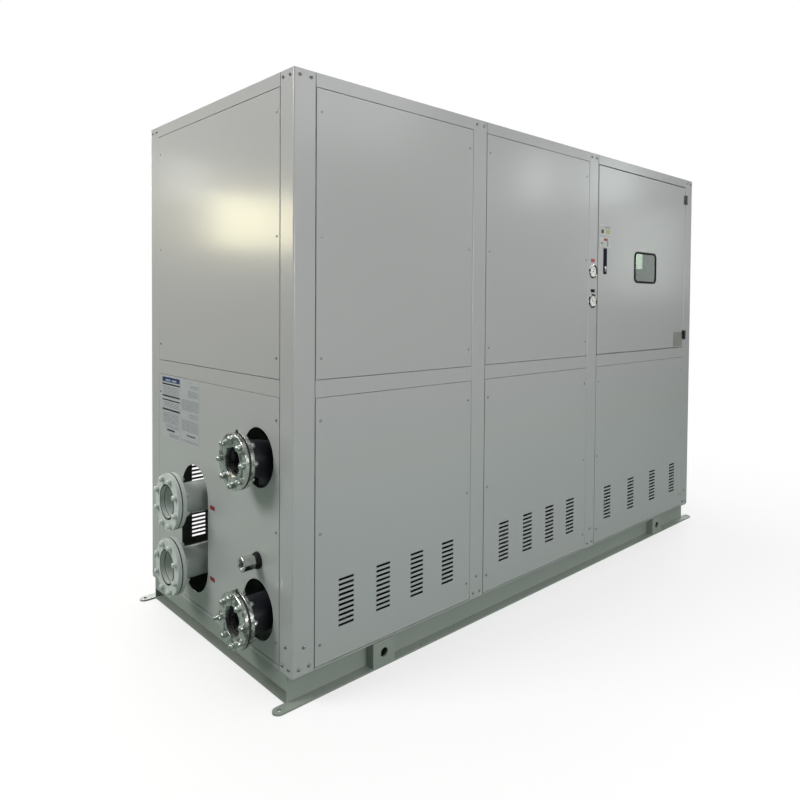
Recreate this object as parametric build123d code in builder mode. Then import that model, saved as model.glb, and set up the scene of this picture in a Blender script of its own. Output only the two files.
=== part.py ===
from build123d import *
import os

os.makedirs("parts", exist_ok=True)

# Water-cooled chiller in a sheet-steel cabinet, millimetres.
# Z = 0 is the floor, the origin is the middle of the four anchor holes,
# the water connections are on the -X end and the control door faces -Y.

# Overall size
cabinet_length = 3145.0
cabinet_depth = 1338.0
cabinet_height = 2250.0
base_height = 112.0

# Cabinet frame of folded sheet
frame_sheet = 2.5
bend_radius = 5.0
post_leg = 95.0
mid_post_width = 92.0
left_bay = 848.0
middle_bay = 854.0
seat_depth = 25.0
seat_lip = 20.0
lip_clearance = 1.0
top_rail_height = 53.0
mid_rail_height = 66.0
mid_rail_rise = 1036.0
side_sill_height = 5.0
end_sill_height = 14.0
sill_seat_height = 45.0
roof_sheet = 2.0
roof_inset = 3.0
roof_return = 18.0
roof_fit = 1.0

# Panels
panel_sheet = 2.0
panel_gap = 2.0
panel_chamfer = 1.2

# Vent slots
slot_length = 72.0
slot_height = 10.0
slot_columns = 4
back_slot_columns = 2
front_slot_rows = 10
front_slot_pitch = 20.0
front_slot_bottom = 133.0
back_slot_rows = 20
back_slot_pitch = 21.0
back_slot_bottom = 147.0
slot_column_pitch = 185.5
wide_slot_column_pitch = 265.5

# Base of rolled channels
flange_overhang = 5.0
flange_width = 51.0
beam_web = 6.0
beam_flange = 8.0
beam_root_radius = 6.0
top_flange_setback = 8.0
pick_margin = 0.01
tab_reach = 42.0
anchor_hole = 18.0
flange_hole = 12.0
flange_hole_inset = 15.0
flange_hole_from_end = 645.0
skirt_height = 62.0
skirt_sheet = 6.0
cross_beam_offset = 872.5
cross_beam_width = 60.0

# Lifting lugs
lug_from_end = 430.0
lug_width = 114.0
lug_plate = 10.0
lug_hole = 38.0
lug_hole_height = 59.0
lug_top_gap = 2.0

# Control door
door_gap = 5.5
door_depth = 19.0
hinge_from_edge = 82.0

# Door hinges
hinge_height = 60.0
hinge_reach = 22.0
hinge_leaf = 3.0
leaf_start = 4.5
knuckle_radius = 6.5
hinge_stand_off = 11.0
hinge_pin_radius = 3.0
pin_clearance = 0.05
knuckle_gap = 0.5
web_reach = 7.5

# Door window
window_width = 270.0
window_height = 195.0
window_corner = 34.0
window_from_bay_start = 539.0
window_rise = 1624.5
window_lip = 10.0
window_proud = 5.0
window_back = 5.0
window_bead = 12.0
window_fit = 0.3
glass_thickness = 4.0
glass_rebate = 5.0

# Door handle
handle_from_bay_start = 74.0
handle_rise = 1645.0
handle_width = 42.0
handle_height = 150.0
handle_corner = 8.0
handle_depth = 14.0
handle_floor = 3.0
recess_width = 32.0
recess_height = 112.0
recess_rise = 12.0
lever_width = 22.0
lever_thickness = 9.0
lever_clearance = 5.0
lever_pin_radius = 3.0
lever_pin_reach = 9.0
lock_radius = 9.0
lock_drop = 60.0
lock_proud = 4.0
key_slot_width = 2.0
key_slot_length = 9.0
key_slot_depth = 3.0

# Pressure gauges on the second front post
gauge_radius = 40.0
gauge_body_radius = 31.0
gauge_body_depth = 32.0
gauge_bezel = 12.0
gauge_dial_radius = 34.0
gauge_dial_depth = 3.0
gauge_rises = (1582.0, 1413.0)
gauge_fit = 0.3

# Control enclosure behind the door
enclosure_overlap = 14.0
enclosure_depth = 300.0
enclosure_sheet = 2.0
mounting_plate_margin = 40.0
mounting_plate_sheet = 3.0
mounting_plate_stand_off = 15.0
stand_off_radius = 7.0
stand_off_inset = 30.0

# Chilled water connections
chilled_pipe_from_front = 257.0
chilled_upper_rise = 783.0
chilled_lower_rise = 165.0
chilled_hole_radius = 119.0
chilled_lower_hole_rise = 178.0
chilled_flange_radius = 110.0
chilled_face = 108.0
chilled_bolt_circle = 180.0
chilled_bore_radius = 57.0
insulation_radius = 79.0
pipe_bore_radius = 54.0

# Cooling water connections
cooling_pipe_from_front = 837.0
cooling_mean_rise = 359.0
cooling_spread = 146.0
cooling_flange_radius = 125.0
cooling_face = 125.0
cooling_bolt_circle = 210.0
cooling_bore_radius = 70.5
cooling_pipe_radius = 70.0
cooling_pipe_wall = 6.0
oblong_width = 275.0
oblong_height = 580.0

# Flange pairs
flange_thickness = 17.5
gasket_thickness = 3.0
flange_bolts = 8
bolt_hole_radius = 9.0
bolt_hole_sides = 6
gasket_inset = 1.5

# Drain socket
drain_rise = 375.0
collar_radius = 34.0
collar_length = 20.0
collar_bore = 25.0
drain_pipe_radius = 24.0
drain_pipe_bore = 18.0
socket_across_flats = 54.0
socket_length = 52.0
socket_bore = 22.0

# Heat exchangers
evaporator_start = 430.0
evaporator_length = 540.0
evaporator_width = 330.0
evaporator_height = 930.0
evaporator_corner = 30.0
condenser_start = 500.0
condenser_length = 2200.0
condenser_radius = 240.0
tube_sheet_radius = 262.0
tube_sheet_thickness = 34.0
cover_length = 120.0
cover_radius = 215.0
saddle_thickness = 20.0
saddle_width = 380.0
saddle_rise = 190.0
saddle_fit = 0.2

# Places worked out from the sizes above
half_length = cabinet_length / 2
half_depth = cabinet_depth / 2
cabinet_top = base_height + cabinet_height
frame_top = cabinet_top - roof_sheet
top_rail_bottom = cabinet_top - top_rail_height
mid_rail_bottom = base_height + mid_rail_rise
mid_rail_top = mid_rail_bottom + mid_rail_height
left_bay_end = -half_length + post_leg + left_bay
middle_bay_start = left_bay_end + mid_post_width
middle_bay_end = middle_bay_start + middle_bay
door_bay_start = middle_bay_end + mid_post_width
door_bay_end = half_length - post_leg
bays = (
    ("left", -half_length + post_leg, left_bay_end),
    ("middle", middle_bay_start, middle_bay_end),
    ("right", door_bay_start, door_bay_end),
)
end_bay = cabinet_depth - 2 * post_leg
mid_posts_x = (left_bay_end + mid_post_width / 2, middle_bay_end + mid_post_width / 2)
front_face = Plane.XZ.offset(half_depth)
left_face = Plane.YZ.offset(-half_length)
anchor_y = half_depth + flange_overhang - flange_width / 2
anchor_x = half_length + tab_reach


def bay_middle(bay):
    """Give the middle of a bay along the cabinet."""
    return (bay[1] + bay[2]) / 2


def column_pitch(bay):
    """Give the distance between the vent columns of a bay, wider in the widest bay."""
    return wide_slot_column_pitch if bay[0] == "right" else slot_column_pitch


# Side beams of the base: a channel open to the outside, whose bottom flange
# runs past both ends as rounded tabs with the anchor holes.
for side, mirrored in (("front", False), ("back", True)):
    with BuildPart() as side_beam:
        with BuildSketch(Plane.XY):
            with Locations((0, -anchor_y)):
                SlotCenterToCenter(2 * anchor_x, flange_width)
            with Locations((-anchor_x, -anchor_y), (anchor_x, -anchor_y)):
                Circle(anchor_hole / 2, mode=Mode.SUBTRACT)
        extrude(amount=beam_flange)
        with BuildSketch(Plane.YZ.offset(-half_length)) as channel:
            web_back = -half_depth - flange_overhang + flange_width
            with Locations((web_back, 0)):
                Rectangle(beam_web, base_height, align=(Align.MAX, Align.MIN))
                Rectangle(flange_width, beam_flange, align=(Align.MAX, Align.MIN))
            with Locations((web_back, base_height)):
                top_flange = flange_width - flange_overhang - top_flange_setback
                Rectangle(top_flange, beam_flange, align=(Align.MAX, Align.MAX))
            web_front = web_back - beam_web
            roots = channel.vertices().filter_by(lambda v: abs(v.Y - web_front) < pick_margin)
            fillet(roots.filter_by(lambda v: 0 < v.Z < base_height), beam_root_radius)
        extrude(amount=cabinet_length)
        with BuildSketch(Plane.XY):
            hole_y = -half_depth - flange_overhang + flange_hole_inset
            hole_x = half_length - flange_hole_from_end
            with Locations((-hole_x, hole_y), (hole_x, hole_y)):
                Circle(flange_hole / 2)
        extrude(amount=beam_flange, mode=Mode.SUBTRACT)
        if mirrored:
            mirror(about=Plane.XZ, mode=Mode.REPLACE)
    side_beam.part.label = f"base_{side}_beam"
    export_step(side_beam.part, f"parts/base_{side}_beam.step")

# End beams of the base: a channel between the side beams with a skirt plate
# that hangs from its top flange, level with the cabinet's end.
end_beam_length = cabinet_depth + 2 * flange_overhang - 2 * flange_width
end_web_back = -half_length + flange_width - flange_overhang
with BuildPart() as base_end_beams:
    with BuildSketch(Plane.XZ.offset(-end_beam_length / 2)):
        flange = flange_width - flange_overhang
        with Locations((end_web_back, 0)):
            Rectangle(beam_web, base_height, align=(Align.MAX, Align.MIN))
        with Locations((-half_length, 0)):
            Rectangle(flange, beam_flange, align=(Align.MIN, Align.MIN))
        with Locations((-half_length, base_height)):
            Rectangle(flange, beam_flange, align=(Align.MIN, Align.MAX))
            Rectangle(skirt_sheet, skirt_height, align=(Align.MIN, Align.MAX))
    extrude(amount=end_beam_length)
    mirror(about=Plane.YZ)
base_end_beams.part.label = "base_end_beams"
export_step(base_end_beams.part, "parts/base_end_beams.step")

# Cross beams that carry the heat exchangers
with BuildPart() as base_cross_beams:
    with BuildSketch(Plane.XZ.offset(-end_beam_length / 2)):
        for beam_x in (-cross_beam_offset, 0, cross_beam_offset):
            with Locations((beam_x, 0)):
                Rectangle(cross_beam_width, base_height, align=(Align.CENTER, Align.MIN))
            with Locations((beam_x - cross_beam_width / 2, base_height / 2)):
                Rectangle(
                    cross_beam_width - beam_web,
                    base_height - 2 * beam_flange,
                    align=(Align.MIN, Align.CENTER),
                    mode=Mode.SUBTRACT,
                )
    extrude(amount=end_beam_length)
base_cross_beams.part.label = "base_cross_beams"
export_step(base_cross_beams.part, "parts/base_cross_beams.step")

# Lifting lugs: a plate level with the flange edge, with two cheeks to the web
with BuildPart() as lifting_lugs:
    lug_front = -half_depth - flange_overhang
    cheek_length = flange_width - beam_web - lug_plate
    with BuildSketch(Plane.XY.offset(beam_flange)):
        for lug_x in (-half_length + lug_from_end, half_length - lug_from_end):
            with Locations((lug_x, lug_front)):
                Rectangle(lug_width, lug_plate, align=(Align.CENTER, Align.MIN))
    extrude(amount=base_height - beam_flange - lug_top_gap)
    with BuildSketch(Plane.XY.offset(beam_flange)):
        for lug_x in (-half_length + lug_from_end, half_length - lug_from_end):
            for cheek_side in (-1, 1):
                cheek_x = lug_x + cheek_side * (lug_width - lug_plate) / 2
                with Locations((cheek_x, lug_front + lug_plate)):
                    Rectangle(lug_plate, cheek_length, align=(Align.CENTER, Align.MIN))
    extrude(amount=base_height - 2 * beam_flange)
    with BuildSketch(front_face.offset(flange_overhang)):
        for lug_x in (-half_length + lug_from_end, half_length - lug_from_end):
            with Locations((lug_x, lug_hole_height)):
                Circle(lug_hole / 2)
    extrude(amount=-lug_plate, mode=Mode.SUBTRACT)
    mirror(about=Plane.XZ)
lifting_lugs.part.label = "lifting_lugs"
export_step(lifting_lugs.part, "parts/lifting_lugs.step")

# Corner posts: a folded angle with a return and a seat lip on both legs
with BuildPart() as corner_posts:
    with BuildSketch(Plane.XY.offset(base_height)):
        with BuildLine():
            FilletPolyline(
                (-half_length + post_leg + seat_lip, -half_depth + seat_depth),
                (-half_length + post_leg, -half_depth + seat_depth),
                (-half_length + post_leg, -half_depth),
                (-half_length, -half_depth),
                (-half_length, -half_depth + post_leg),
                (-half_length + seat_depth, -half_depth + post_leg),
                (-half_length + seat_depth, -half_depth + post_leg + seat_lip),
                radius=(0, bend_radius, bend_radius, bend_radius, 0),
            )
            offset(amount=frame_sheet, side=Side.RIGHT, kind=Kind.INTERSECTION)
        make_face()
    extrude(amount=frame_top - base_height)
    mirror(about=Plane.YZ)
    mirror(about=Plane.XZ)
corner_posts.part.label = "corner_posts"
export_step(corner_posts.part, "parts/corner_posts.step")

# Mid posts: a folded hat section; the second front post holds the gauges
for side, mirrored in (("front", False), ("back", True)):
    with BuildPart() as mid_posts:
        with BuildSketch(Plane.XY.offset(base_height)):
            for post_x in mid_posts_x:
                with BuildLine():
                    FilletPolyline(
                        (post_x - mid_post_width / 2 - seat_lip, -half_depth + seat_depth),
                        (post_x - mid_post_width / 2, -half_depth + seat_depth),
                        (post_x - mid_post_width / 2, -half_depth),
                        (post_x + mid_post_width / 2, -half_depth),
                        (post_x + mid_post_width / 2, -half_depth + seat_depth),
                        (post_x + mid_post_width / 2 + seat_lip, -half_depth + seat_depth),
                        radius=(0, bend_radius, bend_radius, 0),
                    )
                    offset(amount=frame_sheet, side=Side.LEFT, kind=Kind.INTERSECTION)
                make_face()
        extrude(amount=frame_top - base_height)
        if mirrored:
            mirror(about=Plane.XZ, mode=Mode.REPLACE)
        else:
            with BuildSketch(front_face):
                for gauge_rise in gauge_rises:
                    with Locations((mid_posts_x[1], base_height + gauge_rise)):
                        Circle(gauge_body_radius + gauge_fit)
            extrude(amount=-seat_depth, mode=Mode.SUBTRACT)
    mid_posts.part.label = f"{side}_mid_posts"
    export_step(mid_posts.part, f"parts/{side}_mid_posts.step")

# Rails of the long sides: a sill, a mid rail and a top rail in each bay
for side, mirrored in (("front", False), ("back", True)):
    with BuildPart() as side_rails:
        for bay in bays:
            bay_length = bay[2] - bay[1]
            lip_length = bay_length - 2 * (seat_lip + lip_clearance)
            with BuildSketch(Plane.YZ.offset(bay[1])):
                for low, high in ((mid_rail_bottom, mid_rail_top), (top_rail_bottom, frame_top)):
                    with Locations((-half_depth, (low + high) / 2)):
                        Rectangle(seat_depth, high - low, align=(Align.MIN, Align.CENTER))
                    with Locations((-half_depth + frame_sheet, (low + high) / 2)):
                        Rectangle(
                            seat_depth - frame_sheet,
                            high - low - 2 * frame_sheet,
                            align=(Align.MIN, Align.CENTER),
                            mode=Mode.SUBTRACT,
                        )
                with Locations((-half_depth, base_height)):
                    Rectangle(frame_sheet, side_sill_height, align=(Align.MIN, Align.MIN))
                    Rectangle(seat_depth, frame_sheet, align=(Align.MIN, Align.MIN))
            extrude(amount=bay_length)
            with BuildSketch(Plane.YZ.offset(bay[1] + seat_lip + lip_clearance)):
                for root, direction in (
                    (mid_rail_bottom, -1),
                    (mid_rail_top, 1),
                    (top_rail_bottom, -1),
                ):
                    lip_middle = root + direction * (seat_lip - frame_sheet) / 2
                    with Locations((-half_depth + seat_depth, lip_middle)):
                        Rectangle(
                            frame_sheet, seat_lip + frame_sheet, align=(Align.MIN, Align.CENTER)
                        )
                with Locations((-half_depth + seat_depth, base_height)):
                    Rectangle(frame_sheet, sill_seat_height, align=(Align.MIN, Align.MIN))
            extrude(amount=lip_length)
        if mirrored:
            mirror(about=Plane.XZ, mode=Mode.REPLACE)
    side_rails.part.label = f"{side}_rails"
    export_step(side_rails.part, f"parts/{side}_rails.step")

# Rails of the two ends
with BuildPart() as end_rails:
    end_lip_length = end_bay - 2 * (seat_lip + lip_clearance)
    with BuildSketch(Plane.XZ.offset(-end_bay / 2)):
        for low, high in ((mid_rail_bottom, mid_rail_top), (top_rail_bottom, frame_top)):
            with Locations((-half_length, (low + high) / 2)):
                Rectangle(seat_depth, high - low, align=(Align.MIN, Align.CENTER))
            with Locations((-half_length + frame_sheet, (low + high) / 2)):
                Rectangle(
                    seat_depth - frame_sheet,
                    high - low - 2 * frame_sheet,
                    align=(Align.MIN, Align.CENTER),
                    mode=Mode.SUBTRACT,
                )
        with Locations((-half_length, base_height)):
            Rectangle(frame_sheet, end_sill_height, align=(Align.MIN, Align.MIN))
            Rectangle(seat_depth, frame_sheet, align=(Align.MIN, Align.MIN))
    extrude(amount=end_bay)
    with BuildSketch(Plane.XZ.offset(-end_lip_length / 2)):
        for root, direction in ((mid_rail_bottom, -1), (mid_rail_top, 1), (top_rail_bottom, -1)):
            lip_middle = root + direction * (seat_lip - frame_sheet) / 2
            with Locations((-half_length + seat_depth, lip_middle)):
                Rectangle(frame_sheet, seat_lip + frame_sheet, align=(Align.MIN, Align.CENTER))
        with Locations((-half_length + seat_depth, base_height)):
            Rectangle(frame_sheet, sill_seat_height, align=(Align.MIN, Align.MIN))
    extrude(amount=end_lip_length)
    mirror(about=Plane.YZ)
end_rails.part.label = "end_rails"
export_step(end_rails.part, "parts/end_rails.step")

# Roof: a sheet on the frame with returns folded down inside it
with BuildPart() as roof_panel:
    with BuildSketch(Plane.XY.offset(frame_top)):
        Rectangle(cabinet_length - 2 * roof_inset, cabinet_depth - 2 * roof_inset)
    extrude(amount=roof_sheet)
    return_inset = 2 * (seat_depth + frame_sheet + roof_fit)
    with BuildSketch(Plane.XY.offset(frame_top)):
        Rectangle(cabinet_length - return_inset, cabinet_depth - return_inset)
        Rectangle(
            cabinet_length - return_inset - 2 * roof_sheet,
            cabinet_depth - return_inset - 2 * roof_sheet,
            mode=Mode.SUBTRACT,
        )
    extrude(amount=-roof_return)
roof_panel.part.label = "roof_panel"
export_step(roof_panel.part, "parts/roof_panel.step")

# Long-side panels: folded trays that sit on the seat lips
upper_low = mid_rail_top + panel_gap
upper_high = top_rail_bottom - panel_gap
lower_low = base_height + side_sill_height + panel_gap
lower_high = mid_rail_bottom - panel_gap
for bay in bays[:2]:
    with BuildPart() as upper_panel:
        with BuildSketch(front_face):
            with Locations((bay_middle(bay), (upper_low + upper_high) / 2)):
                Rectangle(bay[2] - bay[1] - 2 * panel_gap, upper_high - upper_low)
        extrude(amount=-seat_depth)
        offset(amount=-panel_sheet, openings=upper_panel.faces().sort_by(Axis.Y)[-1])
        chamfer(upper_panel.faces().sort_by(Axis.Y)[0].edges(), panel_chamfer)
    upper_panel.part.label = f"front_upper_panel_{bay[0]}"
    export_step(upper_panel.part, f"parts/front_upper_panel_{bay[0]}.step")

for bay in bays:
    with BuildPart() as lower_panel:
        with BuildSketch(front_face):
            with Locations((bay_middle(bay), (lower_low + lower_high) / 2)):
                Rectangle(bay[2] - bay[1] - 2 * panel_gap, lower_high - lower_low)
        extrude(amount=-seat_depth)
        offset(amount=-panel_sheet, openings=lower_panel.faces().sort_by(Axis.Y)[-1])
        chamfer(lower_panel.faces().sort_by(Axis.Y)[0].edges(), panel_chamfer)
        slot_middle = base_height + front_slot_bottom + (front_slot_rows - 1) * front_slot_pitch / 2
        with BuildSketch(front_face):
            with Locations((bay_middle(bay), slot_middle)):
                with GridLocations(
                    column_pitch(bay), front_slot_pitch, slot_columns, front_slot_rows
                ):
                    Rectangle(slot_length, slot_height)
        extrude(amount=-panel_sheet, mode=Mode.SUBTRACT)
    lower_panel.part.label = f"front_lower_panel_{bay[0]}"
    export_step(lower_panel.part, f"parts/front_lower_panel_{bay[0]}.step")

with BuildPart() as back_upper_panels:
    with BuildSketch(front_face):
        for bay in bays:
            with Locations((bay_middle(bay), (upper_low + upper_high) / 2)):
                Rectangle(bay[2] - bay[1] - 2 * panel_gap, upper_high - upper_low)
    extrude(amount=-seat_depth)
    offset(amount=-panel_sheet, openings=list(back_upper_panels.faces().group_by(Axis.Y)[-1]))
    chamfer(back_upper_panels.faces().group_by(Axis.Y)[0].edges(), panel_chamfer)
    mirror(about=Plane.XZ, mode=Mode.REPLACE)
back_upper_panels.part.label = "back_upper_panels"
export_step(back_upper_panels.part, "parts/back_upper_panels.step")

with BuildPart() as back_lower_panels:
    with BuildSketch(front_face):
        for bay in bays:
            with Locations((bay_middle(bay), (lower_low + lower_high) / 2)):
                Rectangle(bay[2] - bay[1] - 2 * panel_gap, lower_high - lower_low)
    extrude(amount=-seat_depth)
    offset(amount=-panel_sheet, openings=list(back_lower_panels.faces().group_by(Axis.Y)[-1]))
    chamfer(back_lower_panels.faces().group_by(Axis.Y)[0].edges(), panel_chamfer)
    slot_middle = base_height + back_slot_bottom + (back_slot_rows - 1) * back_slot_pitch / 2
    with BuildSketch(front_face):
        for bay in bays:
            with Locations((bay_middle(bay), slot_middle)):
                outer_columns = column_pitch(bay) * (slot_columns - 1)
                with GridLocations(
                    outer_columns, back_slot_pitch, back_slot_columns, back_slot_rows
                ):
                    Rectangle(slot_length, slot_height)
    extrude(amount=-panel_sheet, mode=Mode.SUBTRACT)
    mirror(about=Plane.XZ, mode=Mode.REPLACE)
back_lower_panels.part.label = "back_lower_panels"
export_step(back_lower_panels.part, "parts/back_lower_panels.step")

# End panels
end_lower_low = base_height + end_sill_height + panel_gap
end_panel_width = end_bay - 2 * panel_gap
with BuildPart() as left_upper_panel:
    with BuildSketch(left_face):
        with Locations((0, (upper_low + upper_high) / 2)):
            Rectangle(end_panel_width, upper_high - upper_low)
    extrude(amount=seat_depth)
    offset(amount=-panel_sheet, openings=left_upper_panel.faces().sort_by(Axis.X)[-1])
    chamfer(left_upper_panel.faces().sort_by(Axis.X)[0].edges(), panel_chamfer)
left_upper_panel.part.label = "left_upper_panel"
export_step(left_upper_panel.part, "parts/left_upper_panel.step")

chilled_y = -half_depth + chilled_pipe_from_front
cooling_y = -half_depth + cooling_pipe_from_front
with BuildPart() as left_lower_panel:
    with BuildSketch(left_face):
        with Locations((0, (end_lower_low + lower_high) / 2)):
            Rectangle(end_panel_width, lower_high - end_lower_low)
    extrude(amount=seat_depth)
    offset(amount=-panel_sheet, openings=left_lower_panel.faces().sort_by(Axis.X)[-1])
    chamfer(left_lower_panel.faces().sort_by(Axis.X)[0].edges(), panel_chamfer)
    with BuildSketch(left_face):
        for hole_rise in (chilled_upper_rise, chilled_lower_hole_rise):
            with Locations((chilled_y, base_height + hole_rise)):
                Circle(chilled_hole_radius)
        with Locations((chilled_y, base_height + drain_rise)):
            Circle(collar_bore)
        with Locations((cooling_y, base_height + cooling_mean_rise)):
            SlotOverall(oblong_height, oblong_width, rotation=90)
    extrude(amount=panel_sheet, mode=Mode.SUBTRACT)
left_lower_panel.part.label = "left_lower_panel"
export_step(left_lower_panel.part, "parts/left_lower_panel.step")

with BuildPart() as right_panels:
    with BuildSketch(left_face):
        with Locations((0, (upper_low + upper_high) / 2)):
            Rectangle(end_panel_width, upper_high - upper_low)
        with Locations((0, (end_lower_low + lower_high) / 2)):
            Rectangle(end_panel_width, lower_high - end_lower_low)
    extrude(amount=seat_depth)
    offset(amount=-panel_sheet, openings=list(right_panels.faces().group_by(Axis.X)[-1]))
    chamfer(right_panels.faces().group_by(Axis.X)[0].edges(), panel_chamfer)
    mirror(about=Plane.YZ, mode=Mode.REPLACE)
right_panels.part.label = "right_panels"
export_step(right_panels.part, "parts/right_panels.step")

# Control door: a tray with a rounded window opening
door_left = door_bay_start + door_gap
door_right = door_bay_end - door_gap
door_low = mid_rail_top + door_gap
door_high = top_rail_bottom - door_gap
window_x = door_bay_start + window_from_bay_start
window_z = base_height + window_rise
cut_width = window_width - 2 * window_lip
cut_height = window_height - 2 * window_lip
cut_corner = window_corner - window_lip
handle_x = door_bay_start + handle_from_bay_start
handle_z = base_height + handle_rise
lock_z = handle_z - lock_drop
with BuildPart() as control_door:
    with BuildSketch(front_face):
        with Locations(((door_left + door_right) / 2, (door_low + door_high) / 2)):
            Rectangle(door_right - door_left, door_high - door_low)
    extrude(amount=-door_depth)
    offset(amount=-panel_sheet, openings=control_door.faces().sort_by(Axis.Y)[-1])
    chamfer(control_door.faces().sort_by(Axis.Y)[0].edges(), panel_chamfer)
    with BuildSketch(front_face):
        with Locations((window_x, window_z)):
            RectangleRounded(cut_width, cut_height, cut_corner)
    extrude(amount=-panel_sheet, mode=Mode.SUBTRACT)
control_door.part.label = "control_door"
export_step(control_door.part, "parts/control_door.step")

# Rubber frame that grips the door sheet on its outside and the pane on its inside
view_width = window_width - 2 * window_bead - 2 * window_lip
view_height = window_height - 2 * window_bead - 2 * window_lip
view_corner = cut_corner - window_bead
pane_back = -(panel_sheet + window_back - glass_thickness) / 2
with BuildPart() as window_frame:
    with BuildSketch(front_face):
        with Locations((window_x, window_z)):
            RectangleRounded(window_width, window_height, window_corner)
    extrude(amount=window_proud)
    chamfer(window_frame.faces().sort_by(Axis.Y)[0].edges(), window_proud / 2)
    with BuildSketch(front_face):
        with Locations((window_x, window_z)):
            RectangleRounded(
                cut_width - 2 * window_fit, cut_height - 2 * window_fit, cut_corner - window_fit
            )
    extrude(amount=-panel_sheet)
    with BuildSketch(front_face.offset(-panel_sheet)):
        with Locations((window_x, window_z)):
            RectangleRounded(window_width, window_height, window_corner)
    extrude(amount=-window_back)
    with BuildSketch(front_face.offset(window_proud)):
        with Locations((window_x, window_z)):
            RectangleRounded(view_width, view_height, view_corner)
    extrude(amount=-(window_proud + panel_sheet + window_back), mode=Mode.SUBTRACT)
    with BuildSketch(front_face.offset(pane_back)):
        with Locations((window_x, window_z)):
            RectangleRounded(
                view_width + 2 * glass_rebate,
                view_height + 2 * glass_rebate,
                view_corner + glass_rebate,
            )
    extrude(amount=glass_thickness, mode=Mode.SUBTRACT)
window_frame.part.label = "window_frame"
export_step(window_frame.part, "parts/window_frame.step")

with BuildPart() as window_glass:
    with BuildSketch(front_face.offset(pane_back)):
        with Locations((window_x, window_z)):
            RectangleRounded(
                view_width + 2 * glass_rebate - 2 * window_fit,
                view_height + 2 * glass_rebate - 2 * window_fit,
                view_corner + glass_rebate - window_fit,
            )
    extrude(amount=glass_thickness)
window_glass.part.label = "window_glass"
export_step(window_glass.part, "parts/window_glass.step")

# Swing handle: a housing with a recess, a lever on a cross pin and a lock
lever_front = handle_floor + lever_clearance + lever_thickness
lever_axis = lever_front - lever_thickness / 2
recess_z = handle_z + recess_rise
lever_top_z = recess_z + recess_height / 2 - lever_clearance
lever_pin_z = lever_top_z - lever_thickness / 2
lever_low_z = recess_z - recess_height / 2 + lever_clearance
with BuildPart() as door_handle:
    with BuildSketch(front_face):
        with Locations((handle_x, handle_z)):
            RectangleRounded(handle_width, handle_height, handle_corner)
    extrude(amount=handle_depth)
    chamfer(door_handle.faces().sort_by(Axis.Y)[0].edges(), handle_floor / 2)
    with BuildSketch(front_face.offset(handle_floor)):
        with Locations((handle_x, recess_z)):
            Rectangle(recess_width, recess_height)
    extrude(amount=handle_depth, mode=Mode.SUBTRACT)
    cheek = (handle_width - recess_width) / 2
    for cheek_x in (handle_x - recess_width / 2 - cheek, handle_x + recess_width / 2):
        with BuildSketch(Plane.YZ.offset(cheek_x)):
            with Locations((-half_depth - lever_axis, lever_pin_z)):
                Circle(lever_pin_radius + lever_clearance / 2)
        extrude(amount=cheek)
    with BuildSketch(Plane.YZ.offset(handle_x - handle_width / 2)):
        with Locations((-half_depth - lever_axis, lever_pin_z)):
            Circle(lever_pin_radius + pin_clearance)
    extrude(amount=handle_width, mode=Mode.SUBTRACT)
    with BuildSketch(front_face.offset(handle_depth)):
        with Locations((handle_x, lock_z)):
            Circle(lock_radius + window_fit)
    extrude(amount=-(handle_depth - handle_floor), mode=Mode.SUBTRACT)
door_handle.part.label = "door_handle"
export_step(door_handle.part, "parts/door_handle.step")

with BuildPart() as lock_barrel:
    with BuildSketch(front_face.offset(handle_floor)):
        with Locations((handle_x, lock_z)):
            Circle(lock_radius)
    extrude(amount=handle_depth - handle_floor + lock_proud)
    with BuildSketch(front_face.offset(handle_depth + lock_proud)):
        with Locations((handle_x, lock_z)):
            Rectangle(key_slot_width, key_slot_length)
    extrude(amount=-key_slot_depth, mode=Mode.SUBTRACT)
lock_barrel.part.label = "lock_barrel"
export_step(lock_barrel.part, "parts/lock_barrel.step")

with BuildPart() as handle_lever:
    with BuildSketch(Plane.YZ.offset(handle_x - lever_width / 2)):
        with Locations((-half_depth - lever_axis, (lever_top_z + lever_low_z) / 2)):
            SlotOverall(lever_top_z - lever_low_z, lever_thickness, rotation=90)
    extrude(amount=lever_width)
    pin_length = lever_width + 2 * lever_pin_reach
    with BuildSketch(Plane.YZ.offset(handle_x - pin_length / 2)):
        with Locations((-half_depth - lever_axis, lever_pin_z)):
            Circle(lever_pin_radius)
    extrude(amount=pin_length)
handle_lever.part.label = "handle_lever"
export_step(handle_lever.part, "parts/handle_lever.step")

# Lift-off hinges: the lower half with its pin is on the post, the upper half
# turns with the door.
hinge_x = door_bay_end - door_gap / 2
hinge_y = -half_depth - hinge_stand_off
hinge_levels = (door_high - hinge_from_edge, door_low + hinge_from_edge)
half_knuckle = hinge_height / 2 - knuckle_gap / 2
with BuildPart() as hinge_frame_halves:
    for hinge_z in hinge_levels:
        with BuildSketch(Plane.XY.offset(hinge_z - hinge_height / 2)):
            with Locations((hinge_x, hinge_y)):
                Circle(knuckle_radius)
                Rectangle(
                    web_reach, hinge_stand_off - hinge_leaf, align=(Align.MIN, Align.MIN)
                )
        extrude(amount=half_knuckle)
        with BuildSketch(Plane.XY.offset(hinge_z - hinge_height / 2)):
            with Locations((hinge_x + leaf_start, -half_depth)):
                Rectangle(hinge_reach - leaf_start, hinge_leaf, align=(Align.MIN, Align.MAX))
        extrude(amount=hinge_height)
        with BuildSketch(Plane.XY.offset(hinge_z - knuckle_gap / 2)):
            with Locations((hinge_x, hinge_y)):
                Circle(hinge_pin_radius)
        extrude(amount=half_knuckle)
hinge_frame_halves.part.label = "hinge_frame_halves"
export_step(hinge_frame_halves.part, "parts/hinge_frame_halves.step")

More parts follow.
